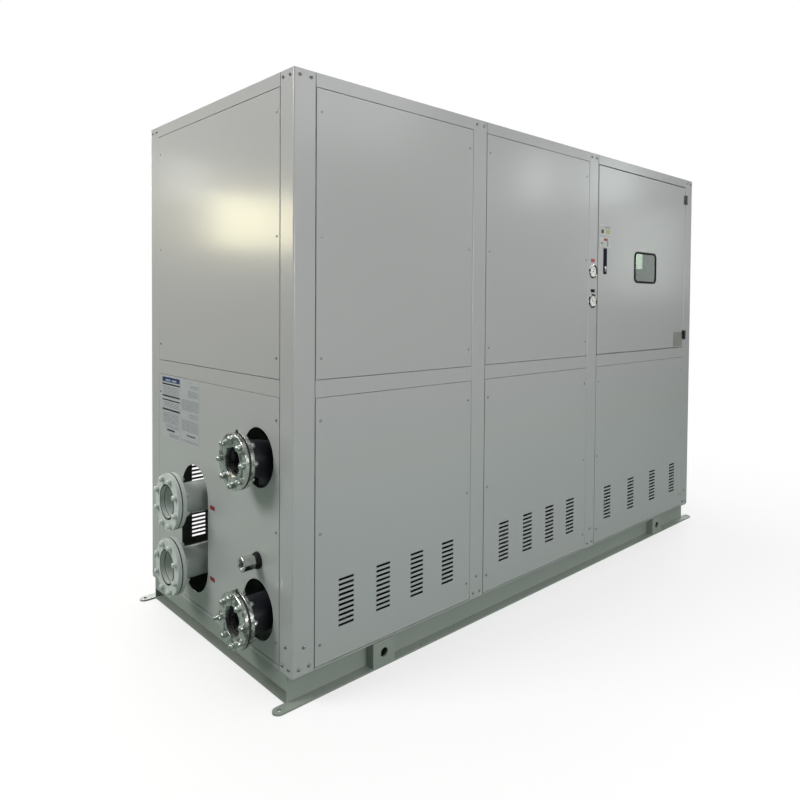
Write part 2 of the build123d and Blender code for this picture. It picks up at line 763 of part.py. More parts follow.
with BuildPart() as hinge_door_halves:
    for hinge_z in hinge_levels:
        with BuildSketch(Plane.XY.offset(hinge_z + knuckle_gap / 2)):
            with Locations((hinge_x, hinge_y)):
                Circle(knuckle_radius)
                Rectangle(
                    web_reach, hinge_stand_off - hinge_leaf, align=(Align.MAX, Align.MIN)
                )
                Circle(hinge_pin_radius + pin_clearance, mode=Mode.SUBTRACT)
        extrude(amount=half_knuckle)
        with BuildSketch(Plane.XY.offset(hinge_z - hinge_height / 2)):
            with Locations((hinge_x - leaf_start, -half_depth)):
                Rectangle(hinge_reach - leaf_start, hinge_leaf, align=(Align.MAX, Align.MAX))
        extrude(amount=hinge_height)
hinge_door_halves.part.label = "hinge_door_halves"
export_step(hinge_door_halves.part, "parts/hinge_door_halves.step")

# Pressure gauges, with a bezel outside the post and a body behind it
with BuildPart() as pressure_gauges:
    for gauge_rise in gauge_rises:
        gauge_plane = Plane(
            origin=(mid_posts_x[1], -half_depth, base_height + gauge_rise),
            x_dir=(1, 0, 0),
            z_dir=(0, -1, 0),
        )
        with BuildSketch(gauge_plane):
            Circle(gauge_radius)
        extrude(amount=gauge_bezel)
        with BuildSketch(gauge_plane):
            Circle(gauge_body_radius)
        extrude(amount=-gauge_body_depth)
        with BuildSketch(gauge_plane.offset(gauge_bezel)):
            Circle(gauge_dial_radius)
        extrude(amount=-gauge_dial_depth, mode=Mode.SUBTRACT)
pressure_gauges.part.label = "pressure_gauges"
export_step(pressure_gauges.part, "parts/pressure_gauges.step")

# Control enclosure, an open box behind the seat lips of the door bay
enclosure_left = door_bay_start + enclosure_overlap
enclosure_right = door_bay_end - enclosure_overlap
enclosure_low = mid_rail_top + enclosure_overlap
enclosure_high = top_rail_bottom - enclosure_overlap
enclosure_front = -(seat_depth + frame_sheet)
enclosure_middle = ((enclosure_left + enclosure_right) / 2, (enclosure_low + enclosure_high) / 2)
enclosure_width = enclosure_right - enclosure_left
enclosure_height = enclosure_high - enclosure_low
with BuildPart() as control_enclosure:
    with BuildSketch(front_face.offset(enclosure_front)):
        with Locations(enclosure_middle):
            Rectangle(enclosure_width, enclosure_height)
    extrude(amount=-enclosure_depth)
    offset(amount=-enclosure_sheet, openings=control_enclosure.faces().sort_by(Axis.Y)[0])
control_enclosure.part.label = "control_enclosure"
export_step(control_enclosure.part, "parts/control_enclosure.step")

with BuildPart() as mounting_plate:
    enclosure_floor = enclosure_front - enclosure_depth + enclosure_sheet
    plate_width = enclosure_width - 2 * mounting_plate_margin
    plate_height = enclosure_height - 2 * mounting_plate_margin
    with BuildSketch(front_face.offset(enclosure_floor)):
        with Locations(enclosure_middle):
            with GridLocations(
                plate_width - 2 * stand_off_inset, plate_height - 2 * stand_off_inset, 2, 2
            ):
                RegularPolygon(stand_off_radius, 6)
    extrude(amount=mounting_plate_stand_off)
    with BuildSketch(front_face.offset(enclosure_floor + mounting_plate_stand_off)):
        with Locations(enclosure_middle):
            Rectangle(plate_width, plate_height)
    extrude(amount=mounting_plate_sheet)
mounting_plate.part.label = "mounting_plate"
export_step(mounting_plate.part, "parts/mounting_plate.step")

# Evaporator block in its insulation, and its two insulated pipes
with BuildPart() as evaporator:
    with BuildSketch(Plane.XY.offset(base_height)):
        with Locations((-half_length + evaporator_start + evaporator_length / 2, chilled_y)):
            Rectangle(evaporator_length, evaporator_width)
    extrude(amount=evaporator_height)
    chamfer(evaporator.edges().filter_by(Axis.Z), evaporator_corner)
    chamfer(evaporator.faces().sort_by(Axis.Z)[-1].edges(), evaporator_corner)
evaporator.part.label = "evaporator"
export_step(evaporator.part, "parts/evaporator.step")

chilled_places = (
    (chilled_y, base_height + chilled_upper_rise),
    (chilled_y, base_height + chilled_lower_rise),
)
pair_thickness = 2 * flange_thickness + gasket_thickness
with BuildPart() as evaporator_pipes:
    pipe_start = -half_length - chilled_face + pair_thickness
    with BuildSketch(Plane.YZ.offset(pipe_start)):
        with Locations(*chilled_places):
            Circle(insulation_radius)
            Circle(pipe_bore_radius, mode=Mode.SUBTRACT)
    extrude(amount=-half_length + evaporator_start - pipe_start)
evaporator_pipes.part.label = "evaporator_pipes"
export_step(evaporator_pipes.part, "parts/evaporator_pipes.step")

with BuildPart() as chilled_inner_flanges:
    with BuildSketch(Plane.YZ.offset(-half_length - chilled_face + flange_thickness + gasket_thickness)):
        with Locations(*chilled_places):
            Circle(chilled_flange_radius)
            Circle(pipe_bore_radius, mode=Mode.SUBTRACT)
            with PolarLocations(chilled_bolt_circle / 2, flange_bolts, 180 / flange_bolts):
                RegularPolygon(bolt_hole_radius, bolt_hole_sides, mode=Mode.SUBTRACT)
    extrude(amount=flange_thickness)
chilled_inner_flanges.part.label = "chilled_inner_flanges"
export_step(chilled_inner_flanges.part, "parts/chilled_inner_flanges.step")

with BuildPart() as chilled_outer_flanges:
    with BuildSketch(Plane.YZ.offset(-half_length - chilled_face)):
        with Locations(*chilled_places):
            Circle(chilled_flange_radius)
            Circle(chilled_bore_radius, mode=Mode.SUBTRACT)
            with PolarLocations(chilled_bolt_circle / 2, flange_bolts, 180 / flange_bolts):
                RegularPolygon(bolt_hole_radius, bolt_hole_sides, mode=Mode.SUBTRACT)
    extrude(amount=flange_thickness)
chilled_outer_flanges.part.label = "chilled_outer_flanges"
export_step(chilled_outer_flanges.part, "parts/chilled_outer_flanges.step")

# Condenser on its saddles, and its two pipes
condenser_z = base_height + cooling_mean_rise
condenser_x = -half_length + condenser_start
with BuildPart() as condenser:
    with BuildSketch(Plane.XZ.offset(-cooling_y)):
        with Locations((condenser_x, condenser_z)):
            Rectangle(condenser_length, cover_radius, align=(Align.MIN, Align.MIN))
        with Locations((condenser_x + cover_length, condenser_z)):
            Rectangle(
                condenser_length - 2 * cover_length, condenser_radius, align=(Align.MIN, Align.MIN)
            )
        for sheet_x in (cover_length, condenser_length - cover_length - tube_sheet_thickness):
            with Locations((condenser_x + sheet_x, condenser_z)):
                Rectangle(
                    tube_sheet_thickness, tube_sheet_radius, align=(Align.MIN, Align.MIN)
                )
    revolve(axis=Axis((0, cooling_y, condenser_z), (1, 0, 0)))
condenser.part.label = "condenser"
export_step(condenser.part, "parts/condenser.step")

with BuildPart() as condenser_saddles:
    for saddle_x in (-cross_beam_offset, cross_beam_offset):
        with BuildSketch(Plane.YZ.offset(saddle_x - saddle_thickness / 2)):
            with Locations((cooling_y, base_height)):
                Rectangle(saddle_width, saddle_rise, align=(Align.CENTER, Align.MIN))
            with Locations((cooling_y, condenser_z)):
                Circle(condenser_radius + saddle_fit, mode=Mode.SUBTRACT)
        extrude(amount=saddle_thickness)
condenser_saddles.part.label = "condenser_saddles"
export_step(condenser_saddles.part, "parts/condenser_saddles.step")

cooling_places = (
    (cooling_y, condenser_z + cooling_spread),
    (cooling_y, condenser_z - cooling_spread),
)
with BuildPart() as condenser_pipes:
    pipe_start = -half_length - cooling_face + pair_thickness
    with BuildSketch(Plane.YZ.offset(pipe_start)):
        with Locations(*cooling_places):
            Circle(cooling_pipe_radius)
            Circle(cooling_pipe_radius - cooling_pipe_wall, mode=Mode.SUBTRACT)
    extrude(amount=condenser_x - pipe_start)
condenser_pipes.part.label = "condenser_pipes"
export_step(condenser_pipes.part, "parts/condenser_pipes.step")

with BuildPart() as cooling_inner_flanges:
    with BuildSketch(Plane.YZ.offset(-half_length - cooling_face + flange_thickness + gasket_thickness)):
        with Locations(*cooling_places):
            Circle(cooling_flange_radius)
            Circle(cooling_pipe_radius - cooling_pipe_wall, mode=Mode.SUBTRACT)
            with PolarLocations(cooling_bolt_circle / 2, flange_bolts, 180 / flange_bolts):
                RegularPolygon(bolt_hole_radius, bolt_hole_sides, mode=Mode.SUBTRACT)
    extrude(amount=flange_thickness)
cooling_inner_flanges.part.label = "cooling_inner_flanges"
export_step(cooling_inner_flanges.part, "parts/cooling_inner_flanges.step")

with BuildPart() as cooling_outer_flanges:
    with BuildSketch(Plane.YZ.offset(-half_length - cooling_face)):
        with Locations(*cooling_places):
            Circle(cooling_flange_radius)
            Circle(cooling_bore_radius, mode=Mode.SUBTRACT)
            with PolarLocations(cooling_bolt_circle / 2, flange_bolts, 180 / flange_bolts):
                RegularPolygon(bolt_hole_radius, bolt_hole_sides, mode=Mode.SUBTRACT)
    extrude(amount=flange_thickness)
cooling_outer_flanges.part.label = "cooling_outer_flanges"
export_step(cooling_outer_flanges.part, "parts/cooling_outer_flanges.step")

# Gaskets between the flange pairs
with BuildPart() as flange_gaskets:
    for places, face, outer, bore in (
        (chilled_places, chilled_face, chilled_flange_radius, chilled_bore_radius),
        (cooling_places, cooling_face, cooling_flange_radius, cooling_bore_radius),
    ):
        with BuildSketch(Plane.YZ.offset(-half_length - face + flange_thickness)):
            with Locations(*places):
                Circle(outer - gasket_inset)
                Circle(bore + gasket_inset, mode=Mode.SUBTRACT)
        extrude(amount=gasket_thickness)
flange_gaskets.part.label = "flange_gaskets"
export_step(flange_gaskets.part, "parts/flange_gaskets.step")

# Drain: a rubber collar on the panel and a hexagonal threaded socket on its pipe
drain_place = (chilled_y, base_height + drain_rise)
with BuildPart() as drain_collar:
    with BuildSketch(Plane.YZ.offset(-half_length - collar_length)):
        with Locations(drain_place):
            Circle(collar_radius)
            Circle(collar_bore, mode=Mode.SUBTRACT)
    extrude(amount=collar_length)
drain_collar.part.label = "drain_collar"
export_step(drain_collar.part, "parts/drain_collar.step")

with BuildPart() as drain_socket:
    socket_start = -half_length - collar_length - socket_length
    with BuildSketch(Plane.YZ.offset(socket_start)):
        with Locations(drain_place):
            RegularPolygon(socket_across_flats / 2, 6, major_radius=False)
            Circle(socket_bore, mode=Mode.SUBTRACT)
    extrude(amount=socket_length)
    with BuildSketch(Plane.YZ.offset(socket_start + socket_length)):
        with Locations(drain_place):
            Circle(drain_pipe_radius)
            Circle(drain_pipe_bore, mode=Mode.SUBTRACT)
    extrude(amount=collar_length + evaporator_start)
drain_socket.part.label = "drain_socket"
export_step(drain_socket.part, "parts/drain_socket.step")
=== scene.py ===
"""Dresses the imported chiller: finishes on every solid, and the small pieces that the solids leave out."""

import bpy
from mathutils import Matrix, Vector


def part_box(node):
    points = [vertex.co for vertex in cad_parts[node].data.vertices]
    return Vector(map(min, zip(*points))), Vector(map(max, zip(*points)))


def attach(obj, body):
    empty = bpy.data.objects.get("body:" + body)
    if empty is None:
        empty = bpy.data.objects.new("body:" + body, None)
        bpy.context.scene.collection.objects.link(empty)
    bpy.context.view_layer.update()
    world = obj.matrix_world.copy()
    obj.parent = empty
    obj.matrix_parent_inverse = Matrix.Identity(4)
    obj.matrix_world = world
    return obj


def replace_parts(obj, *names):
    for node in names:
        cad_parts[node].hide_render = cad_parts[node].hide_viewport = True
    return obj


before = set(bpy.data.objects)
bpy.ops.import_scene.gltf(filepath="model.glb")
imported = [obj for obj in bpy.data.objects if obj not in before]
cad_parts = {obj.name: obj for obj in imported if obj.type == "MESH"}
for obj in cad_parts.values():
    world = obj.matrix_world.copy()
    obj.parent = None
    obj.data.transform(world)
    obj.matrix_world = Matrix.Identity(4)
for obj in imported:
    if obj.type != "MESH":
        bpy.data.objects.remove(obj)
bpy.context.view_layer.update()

import math

import bmesh
import bpy
from bpy.props import FloatProperty, FloatVectorProperty, IntProperty, PointerProperty
from mathutils import Matrix, Vector

bl_info = {
    "name": "Water chiller dressing",
    "version": (1, 0, 0),
    "blender": (4, 5, 0),
    "location": "View3D > Sidebar > Chiller",
    "description": "Finishes, fasteners, labels, gauges and switchgear for a packaged water chiller",
    "category": "Object",
}

CABINET = "cabinet"
DOOR = "door"
LEVER = "lever"
X, Y, Z = (1, 0, 0), (0, 1, 0), (0, 0, 1)
FRONT = (0, -1, 0)


# Shader building


class Number:
    """A number socket in a material. Used in an expression, it adds Math nodes."""

    def __init__(self, finish, socket):
        self.finish = finish
        self.socket = socket

    def _maths(operation, swap=False):
        """A method that adds one Math node."""

        def method(self, other):
            pair = (other, self) if swap else (self, other)
            return self.finish.math(operation, *pair)

        return method

    __add__ = __radd__ = _maths("ADD")
    __mul__ = __rmul__ = _maths("MULTIPLY")
    __sub__ = _maths("SUBTRACT")
    __rsub__ = _maths("SUBTRACT", swap=True)
    __truediv__ = _maths("DIVIDE")
    __gt__ = _maths("GREATER_THAN")
    __lt__ = _maths("LESS_THAN")


class Finish:
    """One material, with short ways to add its nodes."""

    def __init__(self, name):
        self.material = bpy.data.materials.new(name)
        self.material.use_nodes = True
        self.tree = self.material.node_tree
        self.shader = self.tree.nodes["Principled BSDF"]
        self.place = self.node("ShaderNodeTexCoord").outputs["Object"]

    def node(self, kind, settings=None, **inputs):
        """Add a node, set its settings and fill its sockets, given by name or as _0, _1 and so on."""
        made = self.tree.nodes.new(kind)
        for key, value in (settings or {}).items():
            setattr(made, key, value)
        for key, value in inputs.items():
            self.fill(made.inputs[int(key[1:]) if key[0] == "_" else key.replace("_", " ")], value)
        return made

    def fill(self, socket, value):
        """Put a value or a link into a socket."""
        if isinstance(value, Number):
            value = value.socket
        if isinstance(value, bpy.types.NodeSocket):
            self.tree.links.new(value, socket)
        elif socket.type == "RGBA" and len(value) == 3:
            socket.default_value = (*value, 1.0)
        else:
            socket.default_value = value

    def number(self, kind, settings=None, output=0, **inputs):
        return Number(self, self.node(kind, settings, **inputs).outputs[output])

    def math(self, operation, *values):
        sockets = {f"_{i}": value for i, value in enumerate(values)}
        return self.number("ShaderNodeMath", {"operation": operation}, **sockets)

    def clamp(self, value):
        return self.number("ShaderNodeClamp", Value=value)

    def step(self, value, low, high):
        """A smooth step from 0 at low to 1 at high."""
        smooth = {"interpolation_type": "SMOOTHSTEP"}
        return self.number("ShaderNodeMapRange", smooth, Value=value, From_Min=low, From_Max=high)

    def axes(self):
        """The three object coordinates as numbers."""
        made = self.node("ShaderNodeSeparateXYZ", Vector=self.place)
        return [Number(self, socket) for socket in made.outputs]

    def stretched(self, *scale):
        """Object coordinates, scaled along each axis."""
        return self.node("ShaderNodeMapping", Vector=self.place, Scale=scale).outputs[0]

    def noise(self, scale, detail=4.0, roughness=0.55, place=None):
        return self.number(
            "ShaderNodeTexNoise", output="Fac",
            Vector=place or self.place, Scale=scale, Detail=detail, Roughness=roughness,
        )

    def cells(self, scale, output="Distance"):
        return self.number("ShaderNodeTexVoronoi", output=output, Vector=self.place, Scale=scale)

    def colour(self, low, high, factor):
        """A colour between two others."""
        return self.node("ShaderNodeMix", {"data_type": "RGBA"}, _0=factor, _6=low, _7=high).outputs[2]

    def height(self, value, distance):
        """Bump from a height, in metres."""
        self.set(Normal=self.node("ShaderNodeBump", Distance=distance, Height=value).outputs[0])

    def set(self, **inputs):
        """Set the shader's sockets."""
        for key, value in inputs.items():
            self.fill(self.shader.inputs[key.replace("_", " ")], value)
        return self.material


def lighter(colour, share):
    return [min(1.0, channel * share) for channel in colour]


def paint_finish(name, colour, dust, gloss=0.36, peel=0.00012, grime_top=0.35, scuffs=0.4, coat=0.75):
    """Powder coat: slight orange peel, uneven gloss, painted shade and a painted green reflection low down,
    dust low down, and a few scuffs.
    """
    finish = Finish(name)
    up = finish.axes()[2]
    broad = finish.noise(0.9, detail=3.0, roughness=0.5)
    cloud = finish.noise(5.5, detail=6.0, roughness=0.62)
    streak = finish.noise(7.0, detail=3.0, place=finish.stretched(1.0, 1.0, 0.06))
    low = 1.0 - finish.step(up, 0.0, grime_top)
    film = finish.clamp((cloud * 0.9 + streak * 0.5 - 0.35) * (low * 0.8 + 0.12))
    # Painted shade and painted reflection: below 0.5 m the paint is darker and greener, back to its own
    # colour by 1.3 m
    painted_shade_tint = [a * b for a, b in zip(colour, (0.86, 0.93, 0.91))]
    painted_low_shade = finish.colour(painted_shade_tint, colour, finish.step(up, 0.5, 1.3))
    even = finish.colour(painted_low_shade, lighter(colour, 1.05), broad * 0.4)
    dusty = finish.colour(even, dust, finish.clamp(film * 0.42))
    fine = finish.noise(160.0, detail=2.0, place=finish.stretched(0.35, 0.35, 1.0))
    scuff = (finish.noise(23.0, detail=7.0, roughness=0.72) > 0.69) * (fine > 0.5) * scuffs
    top = finish.colour(dusty, lighter(colour, 1.16), finish.clamp(scuff * low))
    rough = finish.clamp(broad * 0.10 + cloud * 0.08 + film * 0.22 + (gloss - 0.09))
    peeled = finish.noise(240.0, detail=2.0, roughness=0.4)
    wave = finish.noise(3.2, detail=1.0, roughness=0.3)
    finish.height(peeled * 0.10 + wave * 11.0, peel)
    clear = finish.clamp(coat - film * 0.6)
    return finish.set(Base_Color=top, Roughness=rough, Coat_Weight=clear, Coat_Roughness=0.19)


def metal_finish(
    name, colour, stain, rough=0.16, spread=0.16, metallic=1.0, stained=0.5, edge=(0.50, 0.74)
):
    """Plated or bare metal with cloudy stains and fine handling marks; on the gauge bezel the dark patches
    are painted shade.
    """
    finish = Finish(name)
    cloud = finish.noise(28.0, detail=6.0, roughness=0.65)
    speck = finish.noise(210.0, detail=3.0)
    patch = finish.step(cloud, *edge)
    top = finish.colour(lighter(colour, 0.93), lighter(colour, 1.05), speck)
    tinted = finish.colour(top, stain, finish.clamp(patch * stained))
    finish.height(speck * 0.5 + cloud, 0.00006)
    return finish.set(
        Base_Color=tinted,
        Metallic=finish.clamp(metallic - patch * 0.25 * stained),
        Roughness=finish.clamp(rough + patch * spread + speck * 0.08),
    )


def rubber_finish(name, colour, dust, rough=0.62, dusty=0.35, shine=0.5):
    """Black rubber or closed-cell foam with a little dust."""
    finish = Finish(name)
    cell = finish.cells(420.0)
    cloud = finish.noise(14.0, detail=6.0, roughness=0.6)
    film = finish.clamp(finish.step(cloud, 0.42, 0.8) * dusty)
    finish.height(cell + cloud * 0.5, 0.0002)
    return finish.set(
        Base_Color=finish.colour(colour, dust, film),
        Roughness=finish.clamp(rough + film * 0.3 - cell * 0.08),
        Sheen_Weight=0.05,
        Specular_IOR_Level=shine,
    )


def plastic_finish(name, colour, rough=0.38, faded=None, shine=0.5):
    """Moulded plastic with a fine spark grain, lighter above the middle of the door if a tone is given."""
    finish = Finish(name)
    spark = finish.noise(900.0, detail=2.0)
    cloud = finish.noise(40.0, detail=4.0)
    finish.height(spark, 0.00006)
    tone = finish.colour(lighter(colour, 0.9), lighter(colour, 1.08), cloud)
    if faded:
        tone = finish.colour(tone, faded, finish.step(finish.axes()[2], 1.6, 1.9))
    grain = finish.clamp(rough + spark * 0.1 + cloud * 0.06 - 0.08)
    return finish.set(Base_Color=tone, Roughness=grain, Specular_IOR_Level=shine)


def glass_finish(name, tint):
    """Clear pane with faint smears."""
    finish = Finish(name)
    cloud = finish.noise(9.0, detail=5.0, place=finish.stretched(1.0, 1.0, 0.4))
    return finish.set(
        Base_Color=finish.colour(tint, lighter(tint, 0.93), cloud),
        Roughness=finish.clamp(finish.step(cloud, 0.5, 0.8) * 0.03 + 0.015),
        Transmission_Weight=1.0,
        IOR=1.45,
    )


def galvanised_finish(name, colour):
    """Zinc-coated sheet with spangle."""
    finish = Finish(name)
    crystal = finish.cells(55.0, output="Color")
    cloud = finish.noise(16.0, detail=5.0)
    top = finish.colour(lighter(colour, 0.86), lighter(colour, 1.08), crystal)
    finish.height(cloud, 0.00005)
    rough = finish.clamp(crystal * 0.16 + cloud * 0.12 + 0.26)
    return finish.set(Base_Color=top, Metallic=0.85, Roughness=rough)


def printed_finish(name, paper, ink, across, up, low, size, rows, blocks, patches=(), gap=0.42):
    """Paper or film with ruled strokes in place of writing, and plain patches.

    Blocks of strokes are (bottom, top, right end) and patches (left, right, bottom, top, colour), in
    shares of the sheet. The sheet lies from low over size along two axes.
    """
    finish = Finish(name)
    place = finish.axes()
    u = (place[across] - low[0]) / size[0]
    v = (place[up] - low[1]) / size[1]
    line = v * rows
    row = finish.math("FLOOR", line)
    within = finish.math("FRACT", line)
    ruled = (within > 0.30) * (within < 0.30 + (1.0 - gap) * 0.62)
    strip = finish.node("ShaderNodeCombineXYZ", X=u * rows * 1.4, Y=row * 7.31, Z=row * 3.7).outputs[0]
    stroke = finish.noise(1.0, detail=3.0, roughness=0.8, place=strip)
    start_of_row = finish.node("ShaderNodeCombineXYZ", Y=row * 5.13).outputs[0]
    ragged = finish.noise(1.0, place=start_of_row) * 0.8 + 0.3
    inside = 0.0
    for bottom, top, right in blocks:
        held = (v > bottom) * (v < top) * (u > 0.07) * (u < ragged + (right - 0.6)) * (u < right)
        inside = held + inside
    cloud = finish.noise(30.0, detail=4.0)
    sheet = finish.colour(lighter(paper, 0.95), paper, cloud)
    printed = finish.colour(sheet, ink, finish.clamp(ruled * inside * (stroke > 0.43) * 0.8))
    for left, right, bottom, top, colour in patches:
        patch = (u > left) * (u < right) * (v > bottom) * (v < top)
        printed = finish.colour(printed, colour, patch)
    finish.height(cloud, 0.00008)
    return finish.set(Base_Color=printed, Roughness=finish.clamp(cloud * 0.15 + 0.38))


def floor_finish(name, colour, room, half_length, half_depth):
    """Pale floor that fades into the white beyond it; inside the base it takes the room's dim tone as
    painted shade.

    What it throws back on the object is the room's dim tone.
    """
    finish = Finish(name)
    x, y, _ = finish.axes()
    far = finish.step(finish.math("SQRT", x * x + y * y), 1.4, 4.6)
    grain = finish.noise(1.7, detail=4.0)
    seen = finish.number("ShaderNodeLightPath", output="Is Camera Ray")
    # Inside the base's footprint the camera sees the room's dim tone and no white glow: painted shade
    within = finish.math("ABSOLUTE", x) < half_length
    seen = seen * (1.0 - within * (finish.math("ABSOLUTE", y) < half_depth))
    pale = finish.colour(lighter(colour, 0.985), colour, grain)
    finish.set(Base_Color=finish.colour(room, pale, seen), Roughness=0.75)
    white = finish.node("ShaderNodeEmission", Color=(1.0, 1.0, 1.0), Strength=1.0).outputs[0]
    share = finish.clamp(seen * (far * 0.35 + 0.65))
    mix = finish.node("ShaderNodeMixShader", _0=share, _1=finish.shader.outputs[0], _2=white)
    finish.tree.links.new(mix.outputs[0], finish.tree.nodes["Material Output"].inputs["Surface"])
    return finish.material


FINISHES = {}


def finish_of(name):
    if name not in FINISHES:
        raise RuntimeError(f"the finish {name} has not been mixed yet")
    return FINISHES[name]


# Modelling. A piece in hand is the one that is open in edit mode.


def deselect():
    if bpy.context.mode != "OBJECT":
        bpy.ops.object.mode_set(mode="OBJECT")
    bpy.ops.object.select_all(action="DESELECT")


def select_all():
    bpy.ops.mesh.select_all(action="SELECT")


def start(kind, **settings):
    """Add a primitive with nothing else selected, and open it in edit mode with nothing picked."""
    deselect()
    getattr(bpy.ops.mesh, f"primitive_{kind}_add")(**settings)
    made = bpy.context.active_object
    bpy.ops.object.transform_apply(location=True, rotation=True, scale=True)
    bpy.ops.object.mode_set(mode="EDIT")
    bpy.ops.mesh.select_mode(type="VERT")
    bpy.ops.mesh.select_all(action="DESELECT")
    return made


def block(low, high):
    """A cuboid between two corners, open in edit mode."""
    centre = [(a + b) / 2 for a, b in zip(low, high)]
    size = [b - a for a, b in zip(low, high)]
    return start("cube", size=1.0, location=centre, scale=size)


def pick(test, kind="FACE"):
    """Select the faces or edges that pass a test on their middle and their normal or direction."""
    bpy.ops.mesh.select_mode(type=kind)
    bpy.ops.mesh.select_all(action="DESELECT")
    held = bpy.context.edit_object.data
    mesh = bmesh.from_edit_mesh(held)
    if kind == "FACE":
        found = [face for face in mesh.faces if test(face.calc_center_median(), face.normal)]
    else:
        ends = [(edge, edge.verts[0].co, edge.verts[1].co) for edge in mesh.edges]
        found = [edge for edge, a, b in ends if test((a + b) / 2, (b - a).normalized())]
    if not found:
        raise RuntimeError("nothing passed the test")
    for item in found:
        item.select_set(True)
    mesh.select_flush_mode()
    bmesh.update_edit_mesh(held)


def facing(axis, sign=1):
    return lambda middle, normal: normal[axis] * sign > 0.9


def along(axis):
    return lambda middle, way: abs(way[axis]) > 0.9


def push(vector):
    bpy.ops.mesh.extrude_region_move(TRANSFORM_OT_translate={"value": vector})


def inset(thickness):
    bpy.ops.mesh.inset(thickness=thickness, depth=0.0)


def shift(x, y, z):
    bpy.ops.transform.translate(value=(x, y, z))


def squash(x, y, z):
    bpy.ops.transform.resize(value=(x, y, z))


def bevel(width, segments):
    bpy.ops.mesh.bevel(offset=width, segments=segments, affect="EDGES")


def round_edges(width, segments=2, sharp=40):
    """Bevel every edge of the piece in hand that turns by more than this many degrees."""
    held = bpy.context.edit_object.data
    mesh = bmesh.from_edit_mesh(held)
    bpy.ops.mesh.select_mode(type="EDGE")
    bpy.ops.mesh.select_all(action="DESELECT")
    for edge in mesh.edges:
        if len(edge.link_faces) == 2 and edge.calc_face_angle() > math.radians(sharp):
            edge.select_set(True)
    bmesh.update_edit_mesh(held)
    bevel(width, segments)


def tunnel(axis, width):
    """Cut a hole through the block in hand along an axis, leaving a wall of this width around it."""
    pick(along(axis))
    inset(width)
    bpy.ops.mesh.bridge_edge_loops()


def split_face(axis, sign, cuts):
    """Divide the block's face on one side by planes given as (axis, level)."""
    for across, level in cuts:
        pick(facing(axis, sign))
        point, normal = [0.0, 0.0, 0.0], [0.0, 0.0, 0.0]
        point[across], normal[across] = level, 1.0
        bpy.ops.mesh.bisect(plane_co=point, plane_no=normal)


def close_edit():
    if bpy.context.mode != "OBJECT":
        bpy.ops.object.mode_set(mode="OBJECT")
    return bpy.context.active_object


def slab(low, high, axis, corner, segments=3):
    """A block in hand with its edges along one axis rounded."""
    block(low, high)
    pick(along(axis), kind="EDGE")
    bevel(corner, segments)


def stepped(low, high, steps, axis=1, sign=-1):
    """A block in hand whose face on one side is inset by a margin and moved out by a depth, in turn."""
    block(low, high)
    pick(facing(axis, sign))
    for margin, out in steps:
        inset(margin)
        push([sign * out if i == axis else 0.0 for i in range(3)])


def turned(points, centre=(0, 0, 0), axis=Z, side=X, steps=32):
    """Spin a profile around an axis. Points are (distance along the axis, radius)."""
    start("plane", size=0.001)
    select_all()
    bpy.ops.mesh.merge(type="CENTER")
    select_all()
    axis, side, centre = Vector(axis), Vector(side), Vector(centre)
    places = [centre + axis * rise + side * radius for rise, radius in points]
    shift(*places[0])
    for before, after in zip(places, places[1:]):
        push(after - before)
    select_all()
    bpy.ops.mesh.spin(steps=steps, angle=math.tau, center=centre, axis=axis)
    tidy_mesh(1e-6)
    return close_edit()


def tidy_mesh(reach):
    """Merge the points of the piece in hand that lie this near each other, and turn its faces outward."""
    select_all()
    bpy.ops.mesh.remove_doubles(threshold=reach)
    bpy.ops.mesh.normals_make_consistent(inside=False)


def turned_x(points, place, start_x=0.0, steps=32):
    """Spin a profile around a line along X."""
    return turned(points, (start_x, *place), X, Y, steps)


def sleeve(low, high, bore, radius):
    """The profile of a plain ring."""
    return [(low, bore), (low, radius), (high, radius), (high, bore), (low, bore)]


def ring(low, high, outer, bore, place, lip=0.0012):
    """A flat ring along X between two levels, with its outer edges eased."""
    points = [
        (low, bore), (low, outer - lip), (low + lip, outer), (high - lip, outer), (high, outer - lip),
        (high, bore), (low, bore),
    ]
    return turned_x(points, place, steps=72)


def join(pieces):
    deselect()
    for piece in pieces:
        piece.select_set(True)
    bpy.context.view_layer.objects.active = pieces[0]
    if len(pieces) > 1:
        bpy.ops.object.join()
    return bpy.context.active_object


def copies(pattern, places):
    """Copy a piece to many places, each copy with its own mesh, and join them."""
    made = []
    for place in places:
        copy = pattern.copy()
        copy.data = pattern.data.copy()
        copy.data.transform(place)
        bpy.context.scene.collection.objects.link(copy)
        made.append(copy)
    bpy.data.objects.remove(pattern)
    return join(made)


def done(piece, name, finish, body=CABINET, smooth=35.0):
    """Name a finished piece, shade it, give it its material and put it on its body."""
    deselect()
    piece.select_set(True)
    bpy.context.view_layer.objects.active = piece
    bpy.ops.object.mode_set(mode="EDIT")
    select_all()
    bpy.ops.mesh.normals_make_consistent(inside=False)
    bpy.ops.object.mode_set(mode="OBJECT")
    bpy.ops.object.transform_apply(location=True, rotation=True, scale=True)
    if smooth:
        bpy.ops.object.shade_smooth_by_angle(angle=math.radians(smooth))
    piece.name = name
    piece.data.name = name
    piece.data.materials.clear()
    piece.data.materials.append(finish_of(finish))
    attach(piece, body)
    deselect()
    return piece


def turn_to(axis, place):
    """The move that takes a piece made at the origin facing +Z to a place, facing an axis."""
    turn = Vector(Z).rotation_difference(Vector(axis)).to_matrix().to_4x4()
    return Matrix.Translation(place) @ turn


def x_row(x, step, count, y, z):
    """Moves to a row of places along X."""
    return [Matrix.Translation((x + step * i, y, z)) for i in range(count)]


# Settings


def tint(name, description, default):
    return FloatVectorProperty(name=name, description=description, subtype="COLOR", default=default)


def length(name, description, default):
    return FloatProperty(name=name, description=description, default=default, unit="LENGTH")


